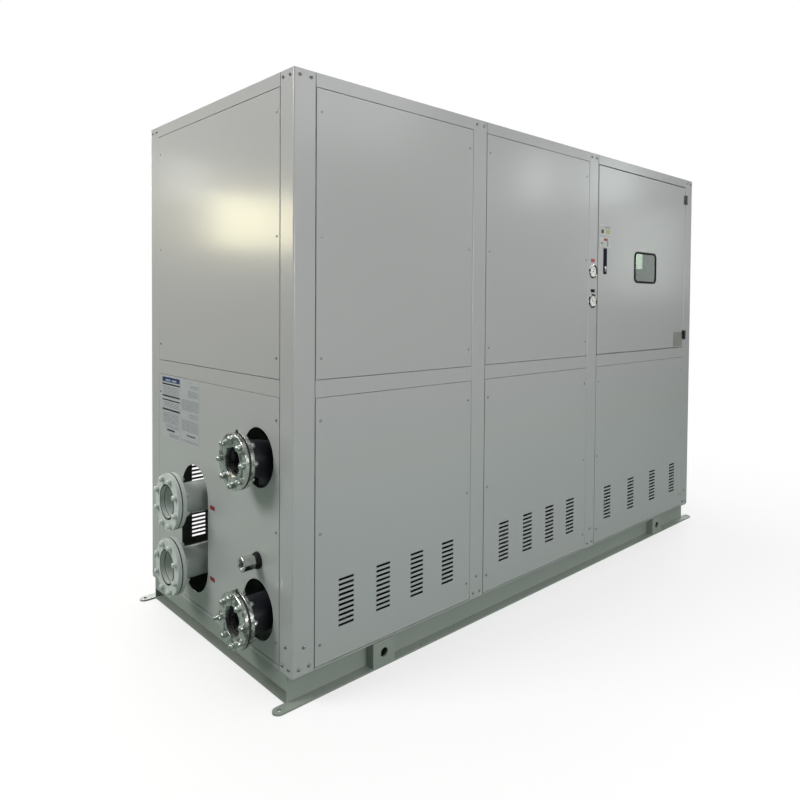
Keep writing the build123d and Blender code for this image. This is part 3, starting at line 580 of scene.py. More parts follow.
class ChillerColours(bpy.types.PropertyGroup):
    """Colours of the finishes"""

    cabinet: tint("Cabinet", "Powder coat of the cabinet", (0.402, 0.401, 0.400))
    # The base is darker than the cabinet, though both wear one paint: painted shade
    base: tint("Base", "Paint of the channel base", (0.255, 0.285, 0.255))
    pipes: tint("Painted pipes", "Paint of the cooling water pipes", (0.56, 0.58, 0.56))
    dust: tint("Dust", "Dust that settles low down", (0.34, 0.33, 0.29))
    plating: tint("Plating", "Bright plated steel", (0.72, 0.73, 0.71))
    rubber: tint("Rubber", "Rubber and pipe lagging", (0.012, 0.013, 0.018))
    floor: tint("Floor", "Pale studio floor", (0.86, 0.87, 0.86))
    room: tint("Floor's glow", "What the floor throws back on the object", (0.20, 0.25, 0.22))


class ChillerFasteners(bpy.types.PropertyGroup):
    """Sizes of the screws, bolts and studs"""

    cap_radius: length("Frame screw radius", "Head radius of the frame's cap screws", 0.0062)
    cap_height: length("Frame screw height", "Head height of the frame's cap screws", 0.0052)
    screw_radius: length("Panel screw radius", "Head radius of the panel screws", 0.0044)
    screw_height: length("Panel screw height", "Head height of the panel screws", 0.003)
    screw_side: length("Screw side inset", "From a panel's side edge to its screws", 0.0215)
    screw_top: length("Screw top inset", "From a panel's top edge to its screws", 0.087)
    screw_foot: length("Screw foot inset", "From a panel's bottom edge to its screws", 0.080)
    nut_flats: length("Nut width", "Across the flats of the flange nuts", 0.0215)
    nut_height: length("Nut height", "Height of the flange nuts", 0.0125)
    stud_radius: length("Stud radius", "Radius of the flange studs", 0.0079)


class ChillerConnections(bpy.types.PropertyGroup):
    """Sizes of the flange circles"""

    chilled_circle: length("Chilled bolt circle", "Radius of the chilled water bolt circle", 0.090)
    cooling_circle: length("Cooling bolt circle", "Radius of the cooling water bolt circle", 0.105)
    bolts: IntProperty(name="Bolts", description="Bolts in each flange pair", default=8, min=3)
    lagging: length("Lagging radius", "Outer radius of the lagged pipes", 0.073)


class ChillerStage(bpy.types.PropertyGroup):
    """The floor, the lights and the camera"""

    light: FloatProperty(name="Lights", description="Share of every light's power", default=1.0, min=0.0)
    room: FloatProperty(
        name="Room", description="Brightness of the room around the object", default=0.5, min=0.0
    )
    lens: FloatProperty(name="Lens", description="Focal length in millimetres", default=30.08)


# Operators

SOLIDS = {
    "cabinet": "back_lower_panels back_mid_posts back_rails back_upper_panels control_door corner_posts "
    "end_rails front_lower_panel_left front_lower_panel_middle front_lower_panel_right front_mid_posts "
    "front_rails front_upper_panel_left front_upper_panel_middle left_lower_panel left_upper_panel "
    "right_panels",
    "base": "base_back_beam base_cross_beams base_end_beams base_front_beam lifting_lugs",
    "roof": "roof_panel",
    "pipes": "condenser_pipes cooling_inner_flanges cooling_outer_flanges",
    "shell": "condenser condenser_saddles",
    "plated": "chilled_inner_flanges chilled_outer_flanges drain_socket",
    "foam": "evaporator evaporator_pipes",
    "rubber": "window_frame drain_collar",
    "gasket": "flange_gaskets",
    "black": "door_handle",
    "hinge": "hinge_door_halves hinge_frame_halves",
    "lever": "handle_lever lock_barrel",
    "gauge": "pressure_gauges",
    "glass": "window_glass",
    "zinc": "control_enclosure mounting_plate",
}


class CHILLER_OT_finishes(bpy.types.Operator):
    """Mix the finishes and put them on the solids"""

    bl_idname = "chiller.finishes"
    bl_label = "Finishes"

    def execute(self, context):
        tone = context.scene.chiller_colours
        dust, rubber, plating = tuple(tone.dust), tuple(tone.rubber), tuple(tone.plating)
        paint, metal, plastic = paint_finish, metal_finish, plastic_finish
        FINISHES.update(
            cabinet=paint("cabinet_paint", tone.cabinet, dust),
            # The base paint's darker colour is painted shade
            base=paint("base_paint", tone.base, dust, gloss=0.40, grime_top=0.6, scuffs=0.8),
            roof=paint("roof_paint", tone.cabinet, dust, gloss=0.46, grime_top=4.5, scuffs=0.0, coat=0.4),
            pipes=paint("pipe_paint", tone.pipes, dust, gloss=0.40, peel=0.0003, grime_top=0.5, coat=0.5),
            shell=paint("shell_paint", (0.10, 0.115, 0.125), dust, gloss=0.42, grime_top=1.5, coat=0.3),
            plated=metal(
                "plated_steel", plating, (0.05, 0.075, 0.055), rough=0.15, stained=0.85, edge=(0.46, 0.60)
            ),
            nuts=metal("plated_nuts", (0.50, 0.54, 0.51), (0.07, 0.10, 0.08), rough=0.26, stained=0.8),
            bright=metal("bright_plating", (0.60, 0.62, 0.60), (0.05, 0.055, 0.05), rough=0.16, stained=0.6),
            screws=metal("screw_heads", (0.34, 0.34, 0.33), (0.04, 0.04, 0.035), rough=0.24),
            lever=metal("lock_metal", (0.80, 0.80, 0.79), (0.40, 0.40, 0.38), rough=0.22, stained=0.2),
            # The bezel's sharp black patches are painted shade, not stains
            gauge=metal(
                "gauge_bezel_painted_shade", (0.86, 0.86, 0.84), (0.008, 0.008, 0.009), rough=0.10, stained=1.0,
                edge=(0.47, 0.51),
            ),
            copper=metal("copper_bar", (0.62, 0.30, 0.17), (0.22, 0.11, 0.07), rough=0.26),
            plate=metal("bare_plate", (0.30, 0.29, 0.27), (0.20, 0.19, 0.17), rough=0.42, metallic=0.3),
            foam=rubber_finish(
                "pipe_lagging", rubber, (0.030, 0.034, 0.052), rough=0.40, dusty=0.4, shine=0.4
            ),
            rubber=rubber_finish(
                "black_rubber", (0.004, 0.004, 0.005), (0.014, 0.014, 0.017), rough=0.55, shine=0.2
            ),
            gasket=rubber_finish("gasket", (0.010, 0.010, 0.010), (0.03, 0.03, 0.03), rough=0.7),
            black=plastic("black_coat", (0.004, 0.006, 0.018), rough=0.36, shine=0.16),
            dial=plastic("dial_face", (0.80, 0.80, 0.76), rough=0.16),
            # The hinges turn lighter between 1.6 and 1.9 m up
            hinge=plastic("hinge_coat", (0.022, 0.023, 0.028), rough=0.36, faded=(0.13, 0.135, 0.14)),
            white=plastic("white_plastic", (0.68, 0.68, 0.66)),
            grey=plastic("grey_plastic", (0.24, 0.25, 0.26)),
            beige=plastic("terminal_plastic", (0.36, 0.35, 0.30)),
            red=plastic("red_film", (0.40, 0.045, 0.04)),
            marker=plastic("red_marker", (0.20, 0.010, 0.010)),
            glass=glass_finish("window_pane", (0.36, 0.47, 0.40)),
            zinc=galvanised_finish("zinc_sheet", (0.52, 0.54, 0.55)),
        )
        dressed = set()
        for finish, nodes in SOLIDS.items():
            for node in nodes.split():
                dressed.add(node)
                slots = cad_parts[node].material_slots
                if not slots:
                    raise RuntimeError(f"{node} has no material slot")
                for held in slots:
                    held.material = finish_of(finish)
        if dressed != set(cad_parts):
            raise RuntimeError(f"not dressed: {sorted(dressed ^ set(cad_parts))}")
        return {"FINISHED"}


def post_rows():
    """Each side's outward axis and the middles of its posts, on the cabinet's face."""
    low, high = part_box("corner_posts")
    first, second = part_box("front_upper_panel_left"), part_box("front_upper_panel_middle")
    third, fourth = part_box("front_lower_panel_middle"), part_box("front_lower_panel_right")
    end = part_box("left_upper_panel")
    xs = [
        (low.x + first[0].x) / 2, (first[1].x + second[0].x) / 2,
        (third[1].x + fourth[0].x) / 2, (fourth[1].x + high.x) / 2,
    ]
    ys = [(low.y + end[0].y) / 2, (end[1].y + high.y) / 2]
    return {
        "front": (FRONT, [(x, low.y) for x in xs]),
        "back": (Y, [(x, high.y) for x in xs]),
        "left": ((-1, 0, 0), [(low.x, y) for y in ys]),
        "right": (X, [(high.x, y) for y in ys]),
    }


def on_side(side, place, shifted, up):
    """A point on a side of the cabinet, shifted along it."""
    x, y = place
    return (x + shifted, y, up) if side in ("front", "back") else (x, y + shifted, up)


# Profiles of the screws' heads, in shares of their height and radius
CAP_HEAD = (
    (0.0, 0.0), (0.0, 1.16), (0.20, 1.16), (0.22, 1.0), (0.62, 0.93), (0.9, 0.68), (1.0, 0.4704),
    (0.96, 0.42), (0.45, 0.3948), (0.45, 0.0),
)
PAN_HEAD = (
    (0.0, 0.0), (0.0, 1.35), (0.2, 1.35), (0.25, 1.0), (0.75, 0.86), (1.0, 0.5), (0.98, 0.3), (0.4, 0.12),
    (0.4, 0.0),
)
ROOF_HEAD = ((0.0, 0.0), (0.0, 1.3), (1 / 3, 1.3), (4 / 9, 1.0), (1.0, 0.6), (1.0, 0.0))


def screw_head(profile, radius, height, steps=12):
    """The head of a screw, made at the origin along +Z."""
    return turned([(height * rise, radius * out) for rise, out in profile], steps=steps)


class CHILLER_OT_frame_screws(bpy.types.Operator):
    """Domed cap screws at the top and bottom of each post"""

    bl_idname = "chiller.frame_screws"
    bl_label = "Frame screws"

    def execute(self, context):
        size = context.scene.chiller_fasteners
        low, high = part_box("corner_posts")
        top, shin, foot = high.z - 0.023, low.z + 0.104, low.z + 0.027
        places = ((-0.024, top), (0.024, top), (0.0, shin), (-0.022, foot), (0.022, foot))
        for side, (axis, posts) in post_rows().items():
            head = screw_head(CAP_HEAD, size.cap_radius, size.cap_height, steps=16)
            spots = [turn_to(axis, on_side(side, post, dx, z)) for post in posts for dx, z in places]
            done(copies(head, spots), f"frame_screws_{side}", "screws")
        return {"FINISHED"}


class CHILLER_OT_panel_screws(bpy.types.Operator):
    """Small pan-head screws down both edges of each fixed panel"""

    bl_idname = "chiller.panel_screws"
    bl_label = "Panel screws"

    def execute(self, context):
        size = context.scene.chiller_fasteners
        upper = [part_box(node) for node in ("front_upper_panel_left", "front_upper_panel_middle")]
        lower = [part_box(f"front_lower_panel_{bay}") for bay in ("left", "middle", "right")]
        end = [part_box("left_upper_panel"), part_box("left_lower_panel")]
        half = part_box("corner_posts")[1]
        # The back has a panel where the front has its door
        left, right = lower[2][0].x, lower[2][1].x
        third = (Vector((left, 0, upper[0][0].z)), Vector((right, 0, upper[0][1].z)))
        rows = {
            "front": (FRONT, 0, -half.y, upper + lower),
            "back": (Y, 0, half.y, upper + [third] + lower),
            "left": ((-1, 0, 0), 1, -half.x, end),
            "right": (X, 1, half.x, end),
        }
        for side, (axis, run, face, panels) in rows.items():
            head = screw_head(PAN_HEAD, size.screw_radius, size.screw_height)
            spots = []
            for low, high in panels:
                ups = (low.z + size.screw_foot, (low.z + high.z) / 2 - 0.006, high.z - size.screw_top)
                for level in (low[run] + size.screw_side, high[run] - size.screw_side):
                    for up in ups:
                        spot = (level, face, up) if run == 0 else (face, level, up)
                        spots.append(turn_to(axis, spot))
            done(copies(head, spots), f"panel_screws_{side}", "screws")
        return {"FINISHED"}


class CHILLER_OT_roof(bpy.types.Operator):
    """Flat screws around the edge of the roof"""

    bl_idname = "chiller.roof"
    bl_label = "Roof"

    def execute(self, context):
        low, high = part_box("roof_panel")
        height, edge, count = 0.0009, 0.014, 9
        head = screw_head(ROOF_HEAD, context.scene.chiller_fasteners.screw_radius, height)
        step = (high.x - low.x - 2 * edge) / (count - 1)
        ends, sides = (low.x + edge, high.x - edge), (low.y + edge, high.y - edge)
        places = [(low.x + edge + step * i, y) for i in range(count) for y in sides]
        places += [(x, y) for x in ends for y in (-0.32, 0.0, 0.32)]
        spots = [Matrix.Translation((*place, high.z - height)) for place in places]
        done(copies(head, spots), "roof_screws", "screws")
        return {"FINISHED"}


def flange_places(node):
    """Middles of the two flanges in a node, with their outer radius."""
    low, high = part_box(node)
    radius = (high.y - low.y) / 2
    y = (low.y + high.y) / 2
    return [(y, high.z - radius), (y, low.z + radius)], radius


def nut(flats, height, rise):
    """A hexagon nut along +Z, from a level up, with rounded corners."""
    middle = (0, 0, rise + height / 2)
    start("cylinder", vertices=6, radius=flats / math.sqrt(3), depth=height, location=middle)
    for sign, crown in ((1, 0.10), (-1, 0.06)):
        pick(facing(2, sign))
        inset(flats * 0.06)
        shift(0, 0, sign * height * crown)
    round_edges(flats * 0.02, segments=1, sharp=50)
    return close_edit()


def threaded_rod(radius, low, high, pitch=0.002):
    """A rod along +Z whose ends show a few rings of thread."""
    shown = 0.03
    points = [(low, 0.0), (low, radius * 0.8), (low + pitch * 0.6, radius * 0.96)]
    for rise, top in ((low + pitch * 0.6, low + shown), (high - shown, high - pitch * 0.6)):
        while rise + pitch < top:
            points += [(rise + pitch * 0.5, radius), (rise + pitch, radius * 0.86)]
            rise += pitch
    points += [(high - pitch * 0.5, radius * 0.92), (high, radius * 0.76), (high, 0.0)]
    return turned(points, steps=16)


class CHILLER_OT_flange_bolts(bpy.types.Operator):
    """Studs with nuts and washers through each flange pair"""

    bl_idname = "chiller.flange_bolts"
    bl_label = "Flange bolts"

    def execute(self, context):
        size = context.scene.chiller_fasteners
        circle = context.scene.chiller_connections
        height, stud = size.nut_height, size.stud_radius
        washer, washer_bore, washer_radius = 0.0025, 0.0085, 0.0132
        # Circle, finish, slot, how far the stud is proud, first bolt in pitches, lean of the lower flange
        pairs = {
            "chilled": (circle.chilled_circle, "nuts", "plated_steel", 0.0035, 0.0, math.radians(-6)),
            "cooling": (circle.cooling_circle, "pipes", "pipe_paint", 0.0030, 0.5, 0.0),
        }
        for water, (radius, finish, slot, proud, first, lean) in pairs.items():
            places, _ = flange_places(f"{water}_outer_flanges")
            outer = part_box(f"{water}_outer_flanges")[0].x
            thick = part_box(f"{water}_inner_flanges")[1].x - outer
            for level, (y, z) in zip(("upper", "lower"), places):
                spots = []
                for i in range(circle.bolts):
                    angle = math.tau * (i + first) / circle.bolts + (lean if level == "lower" else 0.0)
                    spot = (outer, y + radius * math.cos(angle), z + radius * math.sin(angle))
                    twist = Matrix.Rotation(0.37 * (i * 7 % 5), 4, "Z")
                    spots.append(turn_to((-1, 0, 0), spot) @ twist)
                front_nut = nut(size.nut_flats, height, washer)
                back_nut = nut(size.nut_flats, height, -thick - washer - height)
                washers = [
                    turned(sleeve(rise, rise + deep, washer_bore, washer_radius), steps=20)
                    for rise, deep in ((0.0, washer), (-thick, -washer))
                ]
                rod = threaded_rod(stud, -thick - washer - height - 0.006, washer + height + proud)
                bolts = copies(join([rod, front_nut, back_nut, *washers]), spots)
                if (water, level) == ("chilled", "lower"):
                    longer = threaded_rod(stud, 0.0, washer + height + proud + 0.014)
                    bolts = join([bolts, copies(longer, spots[:1])])
                done(bolts, f"{water}_bolts_{level}", finish)
        return {"FINISHED"}


class CHILLER_OT_flange_details(bpy.types.Operator):
    """Rings and thread of the plated flanges, weld beads and lips of the painted ones, all gaskets"""

    bl_idname = "chiller.flange_details"
    bl_label = "Flange details"

    def execute(self, context):
        chilled, chilled_radius = flange_places("chilled_outer_flanges")
        cooling, cooling_radius = flange_places("cooling_outer_flanges")
        near, outer_back = (corner.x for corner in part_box("chilled_outer_flanges"))
        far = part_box("chilled_inner_flanges")[1].x
        outer_bore, inner_bore, pitch, first = 0.061, 0.054, 0.0026, 0.0006
        for level, place in zip(("upper", "lower"), chilled):
            points = [(first, outer_bore)]
            rise = first
            while rise + pitch < outer_back - near - 0.001:
                points += [(rise + pitch * 0.5, outer_bore - 0.0022), (rise + pitch, outer_bore - 0.0002)]
                rise += pitch
            points += [(rise, outer_bore + 0.0005), (first, outer_bore + 0.0005), (first, outer_bore)]
            thread = turned_x(points, place, near, steps=56)
            done(thread, f"chilled_thread_{level}", "plated")

        bore, pipe = 0.0705, 0.070
        lip = [(0.0, 0.0005), (0.0, 0.008), (0.001, 0.0095), (0.002, 0.0095), (0.003, 0.0005), (0.0, 0.0005)]
        bead = [
            (0.0, -0.001), (0.0, 0.0075), (0.0022, 0.0062), (0.0045, 0.0035), (0.0068, 0.0008),
            (0.007, -0.001), (0.0, -0.001),
        ]
        ends = (
            ("weld", "cooling_inner_flanges", 1, pipe, bead),
            ("lip", "cooling_outer_flanges", 0, bore, lip),
        )
        for level, place in zip(("upper", "lower"), cooling):
            for kind, node, corner, radius, profile in ends:
                points = [(rise, radius + out) for rise, out in profile]
                piece = turned_x(points, place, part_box(node)[corner].x, steps=64)
                done(piece, f"cooling_{kind}_{level}", "pipes")

        gasket = 0.007
        thick = (far - near - gasket) / 2
        rings, seals = [], []
        for place in chilled:
            rings.append(ring(near, near + thick, chilled_radius, outer_bore, place))
            rings.append(ring(far - thick, far, chilled_radius, inner_bore, place))
            seals.append(ring(near + thick, far - thick, chilled_radius + 0.0004, 0.0585, place, lip=0.0004))
            # The gasket's ear
            y, z = place
            block(
                (near + thick + 0.0002, y - 0.008, z + chilled_radius - 0.010),
                (far - thick - 0.0002, y + 0.008, z + chilled_radius + 0.012),
            )
            pick(facing(2))
            squash(1.0, 0.4, 1.0)
            round_edges(0.0012)
            seals.append(close_edit())
        outer_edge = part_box("cooling_outer_flanges")[1].x - 0.0008
        inner_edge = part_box("cooling_inner_flanges")[0].x + 0.0008
        for place in cooling:
            seals.append(ring(outer_edge, inner_edge, cooling_radius + 0.0006, 0.072, place, lip=0.0003))
        pairs = done(join(rings), "chilled_flange_pairs", "plated")
        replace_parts(pairs, "chilled_outer_flanges", "chilled_inner_flanges")
        seal = done(join(seals), "flange_seals", "gasket")
        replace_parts(seal, "flange_gaskets")
        return {"FINISHED"}


class CHILLER_OT_lagged_pipes(bpy.types.Operator):
    """The two lagged pipes: the lower one straight, the upper one bending down behind its hole"""

    bl_idname = "chiller.lagged_pipes"
    bl_label = "Lagged pipes"

    def execute(self, context):
        radius = context.scene.chiller_connections.lagging
        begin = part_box("chilled_inner_flanges")[1].x
        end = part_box("evaporator")[0].x
        (y, upper), (_, lower) = flange_places("chilled_outer_flanges")[0]
        bend, stretch, drop, bore = 0.110, 0.046, 0.290, 0.054
        pipes = []
        for bent, z in ((True, upper), (False, lower)):
            start(
                "circle", vertices=48, radius=radius, fill_type="NGON", location=(begin, y, z),
                rotation=(0, math.pi / 2, 0),
            )
            select_all()
            straight = end - begin
            if bent:
                push((stretch, 0, 0))
                down, out = (begin + stretch, y, z - bend), (begin + stretch + 2 * bend, y, z - drop + bend)
                bpy.ops.mesh.spin(steps=9, angle=-math.pi / 2, center=down, axis=Y)
                push((0, 0, 2 * bend - drop))
                bpy.ops.mesh.spin(steps=9, angle=math.pi / 2, center=out, axis=Y)
                straight -= stretch + 2 * bend
            push((straight, 0, 0))
            tidy_mesh(1e-6)
            pick(lambda middle, normal: abs(normal[0]) > 0.9 and abs(middle[0] - begin) < 1e-4)
            inset(radius - bore)
            push((stretch * 0.9, 0, 0))
            pipes.append(close_edit())
        pair = done(join(pipes), "lagged_pipes", "foam", smooth=30.0)
        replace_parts(pair, "evaporator_pipes")
        return {"FINISHED"}


class CHILLER_OT_drain(bpy.types.Operator):
    """Tapered rubber collar and the plated drain socket with its rim"""

    bl_idname = "chiller.drain"
    bl_label = "Drain"

    def execute(self, context):
        low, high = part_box("drain_collar")
        place = ((low.y + high.y) / 2, (low.z + high.z) / 2)
        wall, face = high.x, low.x
        tip, end = (corner.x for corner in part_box("drain_socket"))
        collar = turned_x(
            [
                (wall, 0.0245), (wall, 0.034), (wall - 0.006, 0.0338), (wall - 0.016, 0.0300),
                (face + 0.001, 0.0282), (face, 0.0272), (face, 0.0245), (wall, 0.0245),
            ],
            place, steps=48,
        )
        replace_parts(done(collar, "drain_boot", "rubber"), "drain_collar")
        flats = turned_x(
            [
                (tip + 0.004, 0.025), (tip + 0.004, 0.0272), (tip + 0.0055, 0.0288), (face - 0.0015, 0.0288),
                (face, 0.0272), (face, 0.025), (tip + 0.004, 0.025),
            ],
            place, steps=6,
        )
        rim = turned_x(
            [
                (tip, 0.0228), (tip, 0.0290), (tip + 0.001, 0.0300), (tip + 0.0042, 0.0300),
                (tip + 0.0052, 0.0290), (tip + 0.0052, 0.0226), (tip + 0.0012, 0.0220), (tip, 0.0228),
            ],
            place, steps=40,
        )
        first, pitch, root, crest, back = tip + 0.003, 0.0022, 0.0226, 0.0212, 0.0245
        points, rise = [], first
        while rise < face - 0.003:
            points += [(rise, root), (rise + pitch / 2, crest)]
            rise += pitch
        points += [(rise, root), (rise, back), (first, back), (first, root)]
        thread = turned_x(points, place)
        pipe = turned_x(sleeve(face, end, 0.018, 0.024), place)
        socket = done(join([rim, flats, thread, pipe]), "drain_fitting", "bright")
        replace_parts(socket, "drain_socket")
        return {"FINISHED"}


# Label films and papers are this thick
SHEET = 0.0006
SOOT, NAVY, SLATE = (0.02, 0.022, 0.03), (0.012, 0.028, 0.10), (0.30, 0.34, 0.45)
# Name: lower and upper corner (y, z), ruled rows, blocks, patches
SHEETS = {
    "notice_sheet": (
        (0.324, 0.840), (0.535, 1.140), 44,
        (
            (0.71, 0.84, 0.95), (0.50, 0.59, 0.90), (0.24, 0.42, 0.95), (0.17, 0.22, 0.80),
            (0.03, 0.09, 0.6),
        ),
        (
            (0.02, 0.98, 0.908, 0.985, NAVY), (0.02, 0.98, 0.860, 0.886, SOOT),
            (0.02, 0.98, 0.668, 0.694, SOOT), (0.02, 0.98, 0.606, 0.628, SOOT),
            (0.02, 0.98, 0.446, 0.476, SOOT), (0.30, 0.72, 0.120, 0.150, SOOT),
            (0.20, 0.44, 0.925, 0.950, SLATE), (0.52, 0.80, 0.925, 0.950, SLATE),
        ),
    ),
    "wiring_sheet": (
        (0.113, 0.843), (0.312, 1.139), 46,
        (
            (0.88, 0.93, 0.5), (0.74, 0.84, 0.62), (0.52, 0.70, 0.97), (0.42, 0.49, 0.55),
            (0.20, 0.38, 0.97), (0.03, 0.07, 0.97),
        ),
        ((0.22, 0.70, 0.128, 0.150, (0.06, 0.07, 0.08)), (0.48, 0.52, 0.955, 0.985, (0.25, 0.20, 0.12))),
    ),
}
# Name: level of the lower edge, height, blocks, patches
STICKERS = {
    "upper_door_sticker": (
        1.908, 0.062, ((0.60, 0.92, 0.95),),
        (
            (0.55, 0.92, 0.14, 0.52, (0.42, 0.36, 0.16)), (0.10, 0.34, 0.14, 0.50, (0.03, 0.05, 0.05)),
            (0.44, 0.90, 0.70, 0.78, (0.2, 0.3, 0.3)),
        ),
    ),
    "lower_door_sticker": (
        1.838, 0.056, ((0.08, 0.55, 0.4),),
        (
            (0.34, 0.72, 0.66, 0.92, (0.30, 0.07, 0.04)), (0.64, 0.78, 0.12, 0.62, (0.22, 0.24, 0.30)),
            (0.10, 0.22, 0.30, 0.50, (0.14, 0.12, 0.12)),
        ),
    ),
}


class CHILLER_OT_labels(bpy.types.Operator):
    """Paper sheets, marker stickers, door stickers and a bare plate"""

    bl_idname = "chiller.labels"
    bl_label = "Labels"

    def execute(self, context):
        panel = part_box("left_lower_panel")[0].x
        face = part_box("control_door")[0].y
        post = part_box("corner_posts")[0].y
        paper, ink = (0.37, 0.39, 0.40), (0.10, 0.11, 0.13)
        for name, (low, high, rows, blocks, patches) in SHEETS.items():
            size = (high[0] - low[0], high[1] - low[1])
            FINISHES[name] = printed_finish(
                name, paper, ink, 1, 2, low, size, rows, blocks, patches, gap=0.30
            )
            done(block((panel - SHEET, *low), (panel, *high)), name, name, smooth=0)
        markers = []
        for up in (0.604, 0.290):
            slab((panel - SHEET, -0.036, up - 0.009), (panel, 0.009, up + 0.009), 0, 0.002)
            markers.append(close_edit())
        done(join(markers), "flow_markers", "marker", smooth=0)
        film, ink, left, width, rows = (0.50, 0.51, 0.50), (0.2, 0.21, 0.22), 0.430, 0.111, 7
        for name, (up, tall, blocks, patches) in STICKERS.items():
            FINISHES[name] = printed_finish(
                name, film, ink, 0, 2, (left, up), (width, tall), rows, blocks, patches
            )
            slab((left, face - SHEET, up), (left + width, face, up + tall), 1, 0.004)
            done(close_edit(), name, name, body=DOOR, smooth=0)
        slab((1.334, face - 0.0010, 1.226), (1.458, face, 1.322), 1, 0.004)
        done(close_edit(), "bare_plate", "plate", body=DOOR, smooth=0)
        for level, x, up, finish in (("upper", 0.359, 1.755, "red"), ("lower", 0.362, 1.583, "black")):
            slab((x - 0.019, post - SHEET, up - 0.009), (x + 0.019, post, up + 0.009), 1, 0.002)
            done(close_edit(), f"{level}_gauge_tag", finish, smooth=0)
        return {"FINISHED"}


def dial_angle(share):
    """The angle of a share of the dial's scale, which runs over 270 degrees from the lower left."""
    return -math.radians(135 + 270 * share)


class CHILLER_OT_gauges(bpy.types.Operator):
    """Cases, dials, scales with numbers and pointers of the two pressure gauges"""

    bl_idname = "chiller.gauges"
    bl_label = "Gauges"

    def execute(self, context):
        low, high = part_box("pressure_gauges")
        radius = (high.x - low.x) / 2
        x = (low.x + high.x) / 2
        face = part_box("front_mid_posts")[0].y
        print_y, pointer_y = face - 0.0023, face - 0.0030
        case_profile = [
            (-0.032, 0.0), (-0.032, 0.029), (-0.030, 0.031), (0.0, 0.031), (0.0, radius), (0.0030, radius),
            (0.0052, radius - 0.0014), (0.0060, radius - 0.0046), (0.0056, radius - 0.0082),
            (0.0036, radius - 0.0100), (0.0018, radius - 0.0106), (0.0018, 0.0),
        ]
        dial_profile = [(0.0017, 0.0), (0.0017, 0.0293), (0.0022, 0.0293), (0.0022, 0.0)]
        hub_profile = [(0.0020, 0.0), (0.0020, 0.0032), (0.0034, 0.0032), (0.0038, 0.0020), (0.0038, 0.0)]
        ticks, numbers, number_radius = 30, 6, 0.0182
        cases = []
        for level, z, reading in (("upper", high.z - radius, 0.62), ("lower", low.z + radius, 0.38)):
            centre = (x, face, z)
            cases.append(turned(case_profile, centre, FRONT, X, steps=56))
            done(turned(dial_profile, centre, FRONT, X, steps=40), f"dial_{level}", "dial")
            marks = []
            for i in range(ticks + 1):
                long = i % 5 == 0
                half = 0.0006 if long else 0.0003
                block((0.0222 if long else 0.0248, -0.00015, -half), (0.0276, 0.00015, half))
                mark = close_edit()
                turn = Matrix.Rotation(-dial_angle(i / ticks), 4, "Y")
                mark.data.transform(Matrix.Translation((x, print_y, z)) @ turn)
                marks.append(mark)
            for i in range(numbers + 1):
                angle = dial_angle(i / numbers)
                bpy.ops.object.text_add()
                text = bpy.context.active_object
                text.data.body = str(i * 5)
                text.data.size = 0.0068
                text.data.align_x = "CENTER"
                text.data.align_y = "CENTER"
                text.data.extrude = 0.00012
                bpy.ops.object.convert(target="MESH")
                place = (x + number_radius * math.cos(angle), print_y, z + number_radius * math.sin(angle))
                text.data.transform(Matrix.Translation(place) @ Matrix.Rotation(math.pi / 2, 4, "X"))
                marks.append(text)
            scale = join(marks)
            bpy.ops.object.mode_set(mode="EDIT")
            select_all()
            bpy.ops.mesh.remove_doubles(threshold=1e-7)
            done(scale, f"dial_marks_{level}", "black", smooth=0)
            block((-0.008, -0.0003, -0.0015), (0.0236, 0.0003, 0.0015))
            pick(facing(0))
            squash(1.0, 1.0, 0.2)
            pointer = close_edit()
            turn = Matrix.Rotation(-dial_angle(reading), 4, "Y")
            pointer.data.transform(Matrix.Translation((x, pointer_y, z)) @ turn)
            hub = turned(hub_profile, centre, FRONT, X, steps=20)
            done(join([pointer, hub]), f"pointer_{level}", "black")
        case = done(join(cases), "gauge_cases", "gauge")
        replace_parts(case, "pressure_gauges")
        return {"FINISHED"}


